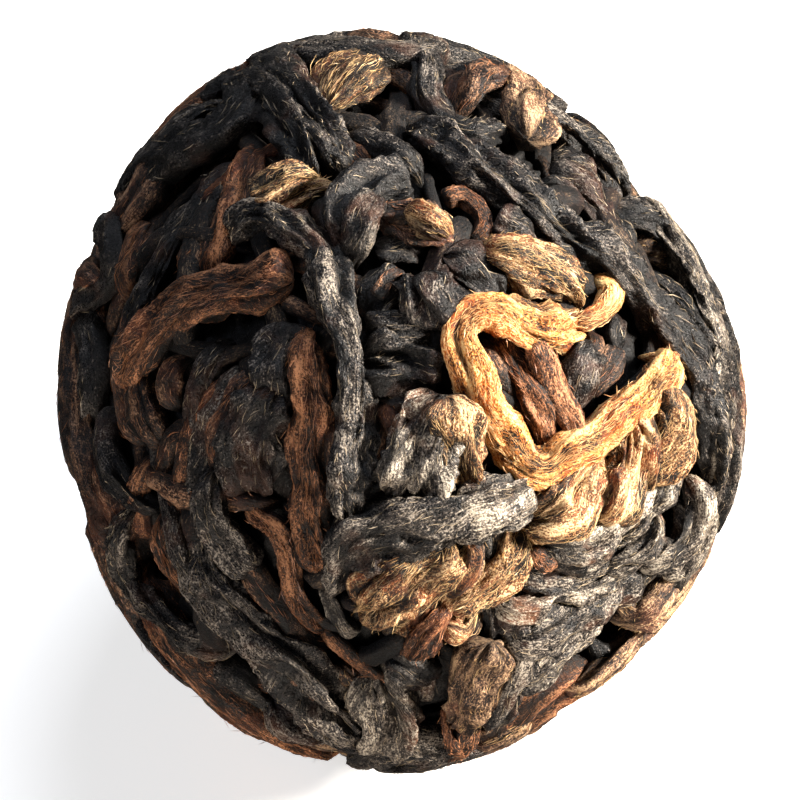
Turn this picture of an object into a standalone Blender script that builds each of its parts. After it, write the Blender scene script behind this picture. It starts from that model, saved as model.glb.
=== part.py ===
# Pu-erh tea pearl: a ball of twisted tea leaves and buds, rolled by hand, pressed and dried.
# One solid: a core with the large leaves that show fused onto it, resting on a small pressed flat.
# Blender's unit is the metre, with +Z up and the origin in the middle of the flat.
# The leaves are laid out in millimetres, and turned to metres where a mesh is made.

import math

import bmesh
import bpy
import numpy as np

MM = 0.001
NODE = "tea_pearl"

# The ball, in millimetres: its mean radius, and the waves that make its outline uneven.
# Each wave is (waves round the outline, height, direction of a crest in degrees).
MEAN_RADIUS = 11.45
DEPTH_RADIUS = 11.35
OUTLINE_WAVES = (
    (1, 0.2, 196.0),
    (2, 0.5, 102.0),
    (3, 0.25, 117.0),
    (4, 0.15, 0.0),
)

# The shown side is drawn as seen from the front, from this height and distance.
VIEW_TILT = math.radians(45.0)
VIEW_DISTANCE = 150.0
SIGHT_ROUNDS = 8  # of finding where a line of sight meets the ball
RIM_SHARE = 0.985  # past this share of the outline a route wraps round the rim
RIM_WRAP = 8.0

# How the leaves lie, in millimetres
CORE_DEPTH = 1.25  # the core's surface, below the outline
BED_DEPTH = 1.2  # what the lowest leaves rest on
PROUD = 0.4  # how far the highest leaf may stand out of the outline
PRESSED = 0.6  # below that, leaves are squeezed into each other
FLATNESS = 0.82  # a leaf's thickness against its width
SUNK = 0.12  # the share of its thickness by which a leaf sinks into what it lies on
TUCK_DEPTH = 0.6  # how far a slim end dives into the ball
TUCK_LENGTH = 1.0
BRIDGE = 0.8  # a leaf bridges dips about this long
FOOTPRINT = 0.45  # how far aside a leaf feels what is under it, against its width
ROUTE_STEP = 0.35
BLUNT_END = 0.8  # end widths against the middle's
SLIM_END = 0.4
TAPER_LENGTH = 2.6
TAPERED_SHARE = 0.45  # of a short leaf's length, at most, at each end

# The flat spot that the pearl rests on
FLAT_DEPTH = 0.55
PATCH_RADIUS = 3.1
PATCH_FLARE = 1.5  # the patch's radius inside the ball, against that at the flat

# The hidden side: leaves that follow a rule, laid over the barest place first
SEED = 41
HIDDEN_LEAVES = 90
HIDDEN_LENGTHS = (7.0, 15.0)
HIDDEN_WIDTHS = (1.1, 1.9)
HIDDEN_TRIES = 10  # routes tried for each leaf, of which the barest is taken
BENDS = 0.06  # spread of a leaf's steady bend, in radians a millimetre
SWAYS = (0.03, 0.1)
SWAY_PACE = 0.8
HOOKED_SHARE = 0.2
HOOK_TURN = 0.7  # radians a millimetre
HOOK_REACH = 1.7
HOOK_PLACE = 0.3  # how far from its middle a leaf may hook, against its length
PATCHINESS = 0.2  # millimetres of chance in what counts as bare
SHOWN_SIDE = 0.35  # the hidden side lies behind this share of the ball's depth

# How fine the mesh is
SURVEY_POINTS = 30000
KNOT_STEPS = 24
TUBE_RESOLUTION = 2
RING_LENGTH = 1.4  # most millimetres from ring to ring of a leaf
RING_TURN = 0.6  # most radians from ring to ring
CORE_SUBDIVISIONS = 4
FUSED_GRAIN = 0.26  # millimetres: what is finer melts together where leaves meet
FUSED_TRIANGLES = 11300
FLAT_SIDES = 20
WELD_GAP = 1e-6  # metres: the seam of a leaf's tube is closed across less than this
SHARP_ANGLE = math.radians(50.0)  # creases sharper than this stay crisp in the shading

# The large leaves of the shown side, lowest first. Each is its width, how its two ends
# finish (b blunt, s slim), and its route: millimetres right and up from the ball's middle.
SHOULDER_BANDS = (
    (1.3, "ss", (-4.3, 11.9), (-1.1, 12.5), (1.8, 12.1)),
    (1.2, "ss", (-5.6, 10.2), (-7.6, 8.9), (-9.3, 6.9)),
    (0.9, "ss", (-6.2, 10.8), (-8.6, 9.0), (-10.3, 6.4)),
    (1.2, "ss", (-11.0, 3.4), (-11.4, 1.2), (-11.2, -1.0)),
    (1.1, "ss", (-10.8, -0.4), (-10.1, -2.6), (-9.0, -4.3)),
    (1.0, "ss", (-9.3, 1.4), (-9.3, 0.2), (-8.7, -2.0)),
    (1.1, "ss", (-10.5, -4.6), (-9.0, -7.2), (-7.0, -9.2), (-5.5, -10.5)),
    (1.2, "ss", (-9.6, -3.8), (-9.2, -6.0), (-7.8, -7.6), (-6.0, -9.3)),
    (1.1, "ss", (-8.9, -4.0), (-8.0, -6.2), (-7.0, -7.2)),
    (1.3, "ss", (-0.7, -12.3), (0.8, -12.0), (1.9, -11.6)),
    (1.2, "ss", (2.4, -11.7), (3.5, -11.2), (4.8, -10.5)),
    (1.1, "ss", (4.9, 10.9), (6.9, 9.4), (8.9, 7.3)),
    (1.3, "ss", (4.9, 9.6), (6.5, 8.5), (8.2, 6.8)),
    (1.1, "ss", (9.0, 7.2), (10.6, 4.4), (11.4, 1.0)),
    (1.3, "ss", (8.0, 7.0), (9.6, 4.5), (10.7, 1.2)),
    (0.9, "ss", (8.9, 5.0), (9.7, 3.4), (10.3, 1.4)),
    (1.2, "ss", (11.2, 0.6), (11.5, -1.5), (11.0, -4.2)),
    (1.3, "ss", (10.7, -4.4), (9.7, -6.4), (8.2, -7.8), (5.4, -10.0)),
)
BOTTOM_LEAVES = (
    (1.3, "ss", (-6.6, -6.4), (-5.0, -8.4), (-3.4, -10.3), (-2.2, -11.4)),
    (1.2, "ss", (3.3, -6.8), (3.7, -8.2), (3.3, -9.8), (2.7, -11.3)),
    (1.8, "ss", (-0.9, -9.8), (-0.3, -11.0), (-0.3, -12.0)),
    (1.2, "bs", (-0.5, -9.3), (0.3, -9.7), (1.3, -10.1)),
    (1.6, "ss", (-7.5, -3.8), (-6.9, -5.7), (-5.3, -7.6), (-3.5, -9.3), (-1.2, -11.7)),
    (1.5, "bs", (3.2, -8.2), (2.7, -9.4), (2.1, -11.3)),
    (1.0, "ss", (4.3, -8.0), (4.1, -9.0), (3.1, -11.1)),
    (1.1, "ss", (3.4, -9.9), (5.2, -8.9), (7.4, -7.6)),
    (1.2, "ss", (3.6, -8.4), (5.6, -7.9), (7.9, -6.8)),
    (1.1, "ss", (3.4, -7.3), (5.6, -7.1), (8.2, -6.1)),
    (1.2, "ss", (3.6, -6.3), (5.8, -6.1), (8.3, -5.1)),
    (1.1, "ss", (4.3, -5.3), (6.3, -5.2), (8.0, -4.3)),
    (1.1, "ss", (10.4, -2.6), (9.8, -4.5), (8.3, -6.2)),
    (1.1, "ss", (9.7, -1.8), (9.2, -3.6), (7.8, -5.2)),
    (1.0, "ss", (9.0, -1.6), (8.6, -3.0), (7.0, -4.5)),
)
LEFT_LEAVES = (
    (1.0, "ss", (-6.4, 2.2), (-7.2, 0.4), (-7.4, -1.6)),
    (0.9, "ss", (-5.8, 1.2), (-6.8, -1.0), (-7.4, -4.1)),
    (1.0, "ss", (-5.2, 1.2), (-6.2, -1.0), (-6.3, -4.4)),
    (1.25, "sb", (-6.6, -2.4), (-6.5, -4.3), (-5.3, -6.2)),
    (1.2, "bs", (-4.0, 2.8), (-4.3, 1.1), (-4.7, -0.6)),
    (1.4, "ss", (-4.4, 0.6), (-5.2, -1.5), (-5.4, -3.8)),
    (1.2, "sb", (-3.4, 2.6), (-3.2, -0.6), (-3.3, -3.5), (-2.7, -6.2)),
    (0.85, "ss", (-5.7, -3.5), (-5.1, -4.2), (-4.5, -4.6), (-4.1, -5.9), (-3.7, -7.2), (-2.5, -8.7)),
    (0.9, "ss", (-6.9, 6.7), (-7.4, 5.4), (-8.0, 4.2)),
    (1.2, "ss", (-4.8, 9.4), (-5.6, 7.8), (-6.1, 6.3), (-7.0, 4.4)),
    (1.0, "ss", (-5.7, 8.9), (-7.0, 7.3), (-8.3, 5.3), (-9.2, 3.8), (-10.0, 2.2)),
    (1.3, "ss", (-5.3, 6.4), (-3.9, 7.2), (-2.2, 7.9)),
    (1.5, "bs", (0.4, 7.6), (-1.0, 7.3), (-1.9, 6.6), (-2.1, 5.3)),
    (1.7, "bs", (-3.8, 4.2), (-6.2, 3.9), (-8.2, 3.0), (-9.8, 0.4)),
)
MIDDLE_LEAVES = (
    (1.1, "bb", (-1.2, 2.6), (0.1, 2.7), (1.4, 2.7)),
    (1.5, "bb", (-1.3, 1.3), (0.1, 1.4), (1.5, 1.3)),
    (1.9, "bs", (-1.3, -3.3), (0.5, -2.9), (2.3, -2.1)),
    (1.5, "bs", (1.2, 0.3), (0.4, -1.4), (-0.6, -3.3)),
    (1.5, "bs", (1.3, 0.2), (1.1, -1.5), (0.7, -3.4)),
    (1.3, "bs", (1.5, 0.1), (1.9, -1.3), (2.4, -3.0)),
    (1.8, "ss", (-2.0, -6.9), (-1.3, -5.2), (0.7, -4.3), (2.6, -3.6)),
    (1.6, "ss", (1.6, -4.4), (3.2, -3.7), (5.0, -3.2)),
    (1.6, "ss", (1.8, -4.7), (0.0, -6.1), (-1.6, -7.6)),
    (1.8, "ss", (2.5, -5.0), (0.9, -6.8), (-0.8, -8.2)),
    (1.3, "ss", (1.8, -6.8), (0.9, -7.9), (0.3, -9.0)),
    (1.1, "ss", (4.3, -4.4), (3.7, -5.8), (1.6, -7.3)),
    (1.0, "bs", (1.4, -7.7), (2.2, -7.9), (3.0, -7.4)),
    (1.8, "ss", (4.4, -4.6), (6.0, -3.5), (7.4, -2.0)),
    (1.9, "bs", (8.9, 0.4), (9.1, -1.2), (8.6, -3.2)),
    (1.5, "ss", (8.2, -0.6), (7.9, -2.4), (6.9, -4.2)),
    (0.6, "bs", (-1.8, 4.4), (-1.5, 3.7), (-1.3, 3.0)),
    (0.9, "bb", (-1.3, 3.2), (-0.7, 4.0), (-0.2, 4.8)),
    (1.3, "ss", (0.6, 4.6), (0.8, 3.6), (0.5, 2.6)),
    (1.0, "bs", (0.9, 4.3), (1.2, 3.3), (1.8, 2.3)),
    (1.8, "bb", (1.5, 5.0), (2.4, 4.3), (3.5, 3.4)),
    (1.85, "ss", (2.8, 5.2), (4.6, 4.7), (6.6, 3.5)),
    (1.2, "bs", (-0.8, 6.5), (0.5, 6.3), (2.0, 5.9)),
    (1.0, "ss", (-1.9, 9.6), (-0.6, 8.9), (0.9, 7.9)),
)
TOP_LEAVES = (
    (1.85, "bb", (-2.9, 10.0), (-2.0, 10.9), (-0.6, 11.4)),
    (1.35, "bs", (-5.7, 10.2), (-5.2, 10.6), (-4.6, 10.4), (-3.9, 9.5), (-3.1, 7.9)),
    (1.25, "bs", (-6.1, 10.3), (-5.7, 11.2), (-4.9, 11.6), (-3.9, 10.9), (-2.0, 8.2)),
    (1.1, "ss", (0.5, 12.3), (0.9, 10.9), (1.6, 10.0), (2.8, 9.6), (4.0, 9.7)),
    (0.9, "ss", (1.6, 12.0), (3.0, 11.5), (4.1, 10.6)),
    (1.75, "sb", (3.8, 11.1), (4.3, 10.1), (4.5, 9.0)),
    (1.3, "ss", (-6.0, 5.6), (-4.8, 6.3), (-3.0, 5.5), (-2.3, 3.8), (-1.6, 0.9), (-1.8, -4.3)),
    (1.5, "ss", (0.0, 9.9), (2.8, 8.3), (5.7, 6.2), (8.3, 4.1), (10.0, 1.5), (10.6, -3.2)),
    (0.95, "ss", (3.4, 2.4), (4.3, 0.9), (5.2, -0.7), (5.6, -2.4)),
    (
        1.35, "ss", (4.4, 2.4), (3.0, 2.9), (2.1, 2.3), (2.4, 0.6), (3.5, -1.2), (4.8, -2.3),
        (6.2, -1.6), (9.3, 1.5),
    ),
    (1.45, "bs", (3.4, 3.2), (4.9, 2.5), (6.9, 2.7)),
    (0.75, "ss", (6.2, 2.7), (7.2, 3.1), (7.6, 3.9), (7.1, 4.6)),
)
LAID_LEAVES = SHOULDER_BANDS + BOTTOM_LEAVES + LEFT_LEAVES + MIDDLE_LEAVES + TOP_LEAVES


# Where things are on the ball

def survey_directions(count):
    """Evenly spread unit directions, along a spiral that turns by the golden angle."""
    index = np.arange(count) + 0.5
    up = 1.0 - 2.0 * index / count
    turn = index * math.pi * (3.0 - math.sqrt(5.0))
    level = np.sqrt(1.0 - up * up)
    return np.stack([level * np.cos(turn), level * np.sin(turn), up], axis=1)


def view_axes():
    """The directions right, up and towards the eye, in which the shown side is drawn."""
    right = np.array([1.0, 0.0, 0.0])
    up = np.array([0.0, math.sin(VIEW_TILT), math.cos(VIEW_TILT)])
    return np.stack([right, up, np.cross(right, up)])


def outline_radius(directions):
    """The ball's uneven radius: its depth, growing to the waved outline at the rim."""
    seen = directions @ view_axes().T
    round_angle = np.arctan2(seen[:, 1], seen[:, 0])
    rim = np.hypot(seen[:, 0], seen[:, 1])
    radius = DEPTH_RADIUS + (MEAN_RADIUS - DEPTH_RADIUS) * rim**2
    for waves, crest_height, crest in OUTLINE_WAVES:
        wave = np.cos(waves * (round_angle - math.radians(crest)))
        radius = radius + crest_height * rim ** max(waves, 2) * wave
    return radius


def unit(vectors):
    return vectors / np.linalg.norm(vectors, axis=-1, keepdims=True)


def tilted(toward, tilt):
    """The direction tilted from the eye's towards a unit direction on the picture plane."""
    return np.array([*(toward * math.sin(tilt)), math.cos(tilt)]) @ view_axes()


def seen_to_direction(right, up):
    """The direction of the ball's point that shows at a place on the picture plane."""
    aside = math.hypot(right, up)
    toward = np.array([right, up]) / aside
    tilt = 0.0
    for _ in range(SIGHT_ROUNDS):
        radius = outline_radius(tilted(toward, tilt)[None])[0]
        shown = aside * (1.0 - radius * math.cos(tilt) / VIEW_DISTANCE) / radius
        tilt = math.asin(min(shown, RIM_SHARE))
    return tilted(toward, tilt + RIM_WRAP * max(shown - RIM_SHARE, 0.0))


def smooth_route(knots):
    """A smooth curve through the knots over the ball, as directions at even steps."""
    knots = np.array(knots)
    ends = np.concatenate([2.0 * knots[:1] - knots[1:2], knots, 2.0 * knots[-1:] - knots[-2:-1]])
    share = np.linspace(0.0, 1.0, KNOT_STEPS, endpoint=False)[:, None]
    pieces = []
    for before, start, end, after in zip(ends[:-3], ends[1:-2], ends[2:-1], ends[3:]):
        pieces.append(
            0.5
            * (
                2.0 * start
                + (end - before) * share
                + (2.0 * before - 5.0 * start + 4.0 * end - after) * share**2
                + (3.0 * start - before - 3.0 * end + after) * share**3
            )
        )
    curve = unit(np.concatenate(pieces + [knots[-1:]]))
    return even_steps(curve)


def even_steps(curve):
    """The same route with its points ROUTE_STEP apart."""
    lengths = np.linalg.norm(np.diff(curve, axis=0), axis=1) * MEAN_RADIUS
    travelled = np.concatenate([[0.0], np.cumsum(lengths)])
    count = max(4, int(round(travelled[-1] / ROUTE_STEP)) + 1)
    wanted = np.linspace(0.0, travelled[-1], count)
    return unit(np.stack([np.interp(wanted, travelled, curve[:, axis]) for axis in range(3)], axis=1))


def walk(start, heading, turns):
    """Steps over the ball from a start, turning a little at each step."""
    angle = ROUTE_STEP / MEAN_RADIUS
    place = start
    route = []
    for turn in turns:
        side = np.cross(place, heading)
        heading = unit(heading * math.cos(turn) + side * math.sin(turn))
        moved = unit(place * math.cos(angle) + heading * math.sin(angle))
        heading = unit(np.cross(np.cross(place, heading), moved))
        place = moved
        route.append(place)
    return route


def wandering_route(rng, middle, length):
    """A leaf's route through its middle: a steady bend with a slow sway, and now and then a hook."""
    heading = unit(np.cross(middle, rng.normal(size=3)))
    steps = int(length / ROUTE_STEP / 2.0)
    travelled = np.arange(-steps, steps) * ROUTE_STEP
    bend = rng.normal(0.0, BENDS)
    sway = rng.uniform(*SWAYS)
    turns = bend + sway * np.sin(travelled * SWAY_PACE + rng.uniform(0.0, 2.0 * math.pi))
    hook_at = rng.uniform(-HOOK_PLACE, HOOK_PLACE) * length
    hook_side = rng.choice([-1.0, 1.0])
    if rng.uniform() < HOOKED_SHARE:
        turns = turns + hook_side * HOOK_TURN * (np.abs(travelled - hook_at) < HOOK_REACH)
    turns = turns * ROUTE_STEP
    forward = walk(middle, heading, turns[steps:])
    backward = walk(middle, -heading, -turns[:steps][::-1])
    return np.array(backward[::-1] + [middle] + forward)


def barest_route(rng, survey, bareness, length):
    """Of a few routes through the barest place, the one over the barest ground."""
    middle = survey[np.argmax(bareness)]
    tries = [wandering_route(rng, middle, length) for _ in range(HIDDEN_TRIES)]
    grounds = [bareness[(route @ survey.T).argmax(axis=1)].mean() for route in tries]
    return tries[int(np.argmax(grounds))]


# How a leaf lies on what is under it

def end_shares(count, length, ends):
    """The width along a leaf against its full width: slim or blunt towards each end."""
    travelled = np.linspace(0.0, length, count)
    shares = np.ones(count)
    for end, gone in zip(ends, (travelled, travelled[::-1])):
        least = BLUNT_END if end == "b" else SLIM_END
        taper = min(TAPER_LENGTH, length * TAPERED_SHARE)
        grown = np.clip(gone / taper, 0.0, 1.0)
        shares = shares * (least + (1.0 - least) * np.sqrt(grown * (2.0 - grown)))
    return shares


def tuck(count, length, ends):
    """How far each point of a leaf is drawn into the ball: only at its slim ends."""
    travelled = np.linspace(0.0, length, count)
    drawn = np.zeros(count)
    for end, gone in zip(ends, (travelled, travelled[::-1])):
        if end == "s":
            near = np.clip(1.0 - gone / min(TUCK_LENGTH, length * TAPERED_SHARE), 0.0, 1.0)
            drawn += TUCK_DEPTH * near**2
    return drawn


def averaged_along(values, reach):
    """Values along a leaf, evened out over a reach in millimetres."""
    offsets = np.arange(len(values)) * ROUTE_STEP
    weights = np.exp(-0.5 * ((offsets[:, None] - offsets[None, :]) / reach) ** 2)
    return (weights @ values) / weights.sum(axis=1)


def lay_leaf(heights, survey, route, width, ends):
    """Lays one leaf on the surveyed heights. Returns its middle line's radii and its widths."""
    length = (len(route) - 1) * ROUTE_STEP
    widths = width * end_shares(len(route), length, ends)
    thick = widths * FLATNESS
    closeness = route @ survey.T
    reach = np.cos(widths * FOOTPRINT / MEAN_RADIUS)[:, None]
    support = np.where(closeness > reach, heights, 0.0).max(axis=1)
    bed = outline_radius(route) - BED_DEPTH
    middle = averaged_along(np.maximum(support, bed), BRIDGE) + thick * (0.5 - SUNK)
    limit = outline_radius(route) + PROUD - thick * 0.5 - PRESSED
    over = np.maximum(middle - limit, 0.0)
    middle = np.minimum(middle, limit) + PRESSED * np.tanh(over / PRESSED)
    middle = middle - tuck(len(route), length, ends)
    nearest = closeness.argmax(axis=0)
    aside = np.arccos(np.clip(closeness.max(axis=0), -1.0, 1.0)) * MEAN_RADIUS
    share = np.clip(aside / (widths[nearest] * 0.5), 0.0, 1.0)
    top = middle[nearest] + thick[nearest] * 0.5 * np.sqrt(1.0 - share**2)
    covered = share < 1.0
    heights[covered] = np.maximum(heights[covered], top[covered])
    return middle, widths


def laid_leaves():
    """Every large leaf in the order in which it lies, as its middle line and its radii."""
    rng = np.random.default_rng(SEED)
    survey = survey_directions(SURVEY_POINTS)
    outline = outline_radius(survey)
    heights = outline - BED_DEPTH
    hidden = survey @ view_axes()[2] < SHOWN_SIDE
    leaves = []
    for _ in range(HIDDEN_LEAVES):
        bareness = outline - heights + rng.uniform(0.0, PATCHINESS, SURVEY_POINTS)
        bareness = np.where(hidden, bareness, 0.0)
        length = rng.uniform(*HIDDEN_LENGTHS)
        width = rng.uniform(*HIDDEN_WIDTHS)
        route = barest_route(rng, survey, bareness, length)
        middle, widths = lay_leaf(heights, survey, route, width, "ss")
        leaves.append((route * middle[:, None], widths))
    for width, ends, *places in LAID_LEAVES:
        route = smooth_route([seen_to_direction(*place) for place in places])
        middle, widths = lay_leaf(heights, survey, route, width, ends)
        leaves.append((route * middle[:, None], widths))
    return leaves


# Making the solid

def dark_leaf_material():
    """Dried dark leaf: brown black, with the dull sheen of a rolled and dried surface."""
    material = bpy.data.materials.new("dried_tea_leaf")
    material.use_nodes = True
    surface = material.node_tree.nodes["Principled BSDF"]
    surface.inputs["Base Color"].default_value = (0.05, 0.026, 0.014, 1.0)
    surface.inputs["Roughness"].default_value = 0.6
    surface.inputs["Metallic"].default_value = 0.0
    return material


def leaf_tube(name, line, widths, collection):
    """A leaf as a closed tube along its middle line, with its width at each ring."""
    steps = np.diff(line, axis=0)
    lengths = np.linalg.norm(steps, axis=1)
    bends = np.arccos(np.clip((unit(steps[1:]) * unit(steps[:-1])).sum(axis=1), -1.0, 1.0))
    needed = lengths / RING_LENGTH + np.concatenate([[0.0], bends]) / RING_TURN
    reached = np.concatenate([[0.0], np.cumsum(needed)])
    rings = max(4, int(math.ceil(reached[-1])) + 1)
    wanted = np.linspace(0.0, reached[-1], rings)
    points = np.stack([np.interp(wanted, reached, line[:, axis]) for axis in range(3)], axis=1)
    radii = np.interp(wanted, reached, widths) * 0.25 * (1.0 + FLATNESS)
    curve = bpy.data.curves.new(name, "CURVE")
    curve.dimensions = "3D"
    curve.bevel_depth = MM
    curve.bevel_resolution = TUBE_RESOLUTION
    curve.use_fill_caps = True
    spline = curve.splines.new("POLY")
    spline.points.add(rings - 1)
    for point, place, radius in zip(spline.points, points, radii):
        point.co = (*(place * MM), 1.0)
        point.radius = radius
    carrier = bpy.data.objects.new(name, curve)
    collection.objects.link(carrier)
    evaluated = carrier.evaluated_get(bpy.context.evaluated_depsgraph_get())
    mesh = bpy.data.meshes.new_from_object(evaluated)
    welded = bmesh.new()
    welded.from_mesh(mesh)
    bmesh.ops.remove_doubles(welded, verts=welded.verts, dist=WELD_GAP)
    bmesh.ops.triangulate(welded, faces=welded.faces)
    welded.to_mesh(mesh)
    welded.free()
    leaf = bpy.data.objects.new(name + "_leaf", mesh)
    leaf.matrix_world = carrier.matrix_world
    collection.objects.link(leaf)
    bpy.data.objects.remove(carrier)
    return leaf


def new_object(name, mesh, collection):
    made = bpy.data.objects.new(name, mesh)
    collection.objects.link(made)
    return made


def core(collection):
    """The pressed middle of the ball, just under the leaves that show."""
    shape = bmesh.new()
    bmesh.ops.create_icosphere(shape, subdivisions=CORE_SUBDIVISIONS, radius=1.0)
    directions = unit(np.array([vertex.co[:] for vertex in shape.verts]))
    radii = outline_radius(directions) - CORE_DEPTH
    for vertex, direction, radius in zip(shape.verts, directions, radii):
        vertex.co = direction * radius * MM
    mesh = bpy.data.meshes.new(NODE)
    shape.to_mesh(mesh)
    shape.free()
    return new_object(NODE, mesh, collection)


def flat_height():
    """The height of the flat that the pearl rests on, below the ball's middle."""
    lowest = outline_radius(np.array([[0.0, 0.0, -1.0]]))[0]
    return -(lowest - FLAT_DEPTH)


def pressed_patch(collection):
    """The leaf matted together at the flat: a short disc that reaches into the core."""
    shape = bmesh.new()
    depth = 2.0 * CORE_DEPTH
    bmesh.ops.create_cone(
        shape,
        cap_ends=True,
        segments=FLAT_SIDES,
        radius1=PATCH_RADIUS * MM,
        radius2=PATCH_RADIUS * PATCH_FLARE * MM,
        depth=depth * MM,
    )
    mesh = bpy.data.meshes.new("pressed_patch")
    shape.to_mesh(mesh)
    shape.free()
    patch = new_object("pressed_patch", mesh, collection)
    mesh_height = (flat_height() + depth * 0.5) * MM
    for vertex in mesh.vertices:
        vertex.co.z += mesh_height
    return patch


def apply_modifiers(target):
    """Replaces the object's mesh by the one its modifiers make."""
    bpy.context.view_layer.update()
    evaluated = target.evaluated_get(bpy.context.evaluated_depsgraph_get())
    finished = bpy.data.meshes.new_from_object(evaluated)
    target.modifiers.clear()
    target.data = finished


def join_leaves(body, leaves_collection):
    """One union of the core with every leaf."""
    union = body.modifiers.new("leaves", "BOOLEAN")
    union.operation = "UNION"
    union.operand_type = "COLLECTION"
    union.collection = leaves_collection
    union.solver = "MANIFOLD"  # the exact solver leaves open edges where leaves only graze
    apply_modifiers(body)
    for leaf in list(leaves_collection.objects):
        bpy.data.objects.remove(leaf)


def cut_flat(body, cutters):
    """Cuts away what is below the flat."""
    shape = bmesh.new()
    bmesh.ops.create_cube(shape, size=2.0 * MEAN_RADIUS * MM)
    mesh = bpy.data.meshes.new("below_flat")
    shape.to_mesh(mesh)
    shape.free()
    cutter = new_object("below_flat", mesh, cutters)
    for vertex in mesh.vertices:
        vertex.co.z += (flat_height() - MEAN_RADIUS) * MM
    cutter.hide_render = True
    cutter.display_type = "WIRE"
    cut = body.modifiers.new("flat", "BOOLEAN")
    cut.operation = "DIFFERENCE"
    cut.object = cutter
    cut.solver = "MANIFOLD"
    apply_modifiers(body)
    bpy.data.objects.remove(cutter)


def keep_outer_shell(body):
    """Keeps the largest connected surface, which fills sealed hollows and drops loose scraps."""
    shape = bmesh.new()
    shape.from_mesh(body.data)
    unseen = set(shape.verts)
    shells = []
    while unseen:
        shell = {unseen.pop()}
        edge_of_shell = list(shell)
        while edge_of_shell:
            vertex = edge_of_shell.pop()
            for edge in vertex.link_edges:
                other = edge.other_vert(vertex)
                if other in unseen:
                    unseen.remove(other)
                    shell.add(other)
                    edge_of_shell.append(other)
        shells.append(shell)
    shells.sort(key=len)
    for shell in shells[:-1]:
        bmesh.ops.delete(shape, geom=list(shell), context="VERTS")
    bmesh.ops.triangulate(shape, faces=shape.faces)
    shape.to_mesh(body.data)
    shape.free()


def melt_together(body):
    """Rounds the sharp creases where leaves meet, as pressing does, and keeps the triangles few."""
    melted = body.modifiers.new("melted", "REMESH")
    melted.mode = "VOXEL"
    melted.voxel_size = FUSED_GRAIN * MM
    apply_modifiers(body)
    keep_outer_shell(body)
    thinned = body.modifiers.new("thinned", "DECIMATE")
    thinned.decimate_type = "COLLAPSE"
    thinned.ratio = FUSED_TRIANGLES / len(body.data.polygons)
    thinned.use_collapse_triangulate = True
    apply_modifiers(body)


def stand_on_origin(body):
    """Puts the middle of the model's box over the origin, with the flat at height zero."""
    places = np.array([vertex.co[:] for vertex in body.data.vertices])
    lowest = places.min(axis=0)
    highest = places.max(axis=0)
    middle = (lowest + highest) * 0.5
    for vertex in body.data.vertices:
        vertex.co.x -= middle[0]
        vertex.co.y -= middle[1]
        vertex.co.z -= lowest[2]


def new_collection(name):
    made = bpy.data.collections.new(name)
    bpy.context.scene.collection.children.link(made)
    return made


def build():
    for old in list(bpy.data.objects):
        bpy.data.objects.remove(old)
    pearl = new_collection("pu_erh_tea_pearl")
    loose_leaves = new_collection("leaves_to_join")
    cutters = new_collection("cutters")
    body = core(pearl)
    pressed_patch(loose_leaves)
    for index, (line, widths) in enumerate(laid_leaves()):
        leaf_tube("leaf_%03d" % index, line, widths, loose_leaves)
    join_leaves(body, loose_leaves)
    melt_together(body)
    cut_flat(body, cutters)
    keep_outer_shell(body)
    stand_on_origin(body)
    body.data.shade_smooth()
    body.data.set_sharp_from_angle(angle=SHARP_ANGLE)
    body.data.materials.clear()
    body.data.materials.append(dark_leaf_material())


build()
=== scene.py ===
# Pu-erh tea pearl: the matted core, leaves, buds and down that dress the plain solid of the ball.
# Shapes are worked out in millimetres and turned to metres where a mesh is made.

import itertools
import math

import bpy
import numpy as np
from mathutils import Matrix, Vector


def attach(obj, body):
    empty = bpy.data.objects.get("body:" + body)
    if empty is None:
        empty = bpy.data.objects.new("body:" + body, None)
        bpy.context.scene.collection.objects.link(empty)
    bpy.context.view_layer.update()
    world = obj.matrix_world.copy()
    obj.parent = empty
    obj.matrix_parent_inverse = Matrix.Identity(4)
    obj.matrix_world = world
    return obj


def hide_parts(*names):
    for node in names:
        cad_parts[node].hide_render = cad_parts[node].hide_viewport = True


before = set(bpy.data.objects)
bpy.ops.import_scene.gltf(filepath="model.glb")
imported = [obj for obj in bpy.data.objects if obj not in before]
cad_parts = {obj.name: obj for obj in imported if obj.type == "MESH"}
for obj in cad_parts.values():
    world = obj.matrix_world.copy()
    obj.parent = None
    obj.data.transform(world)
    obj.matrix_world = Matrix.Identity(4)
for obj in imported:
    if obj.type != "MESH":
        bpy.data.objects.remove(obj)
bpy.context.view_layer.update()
pearlNode = "tea_pearl"
millimetre = 0.001


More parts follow.
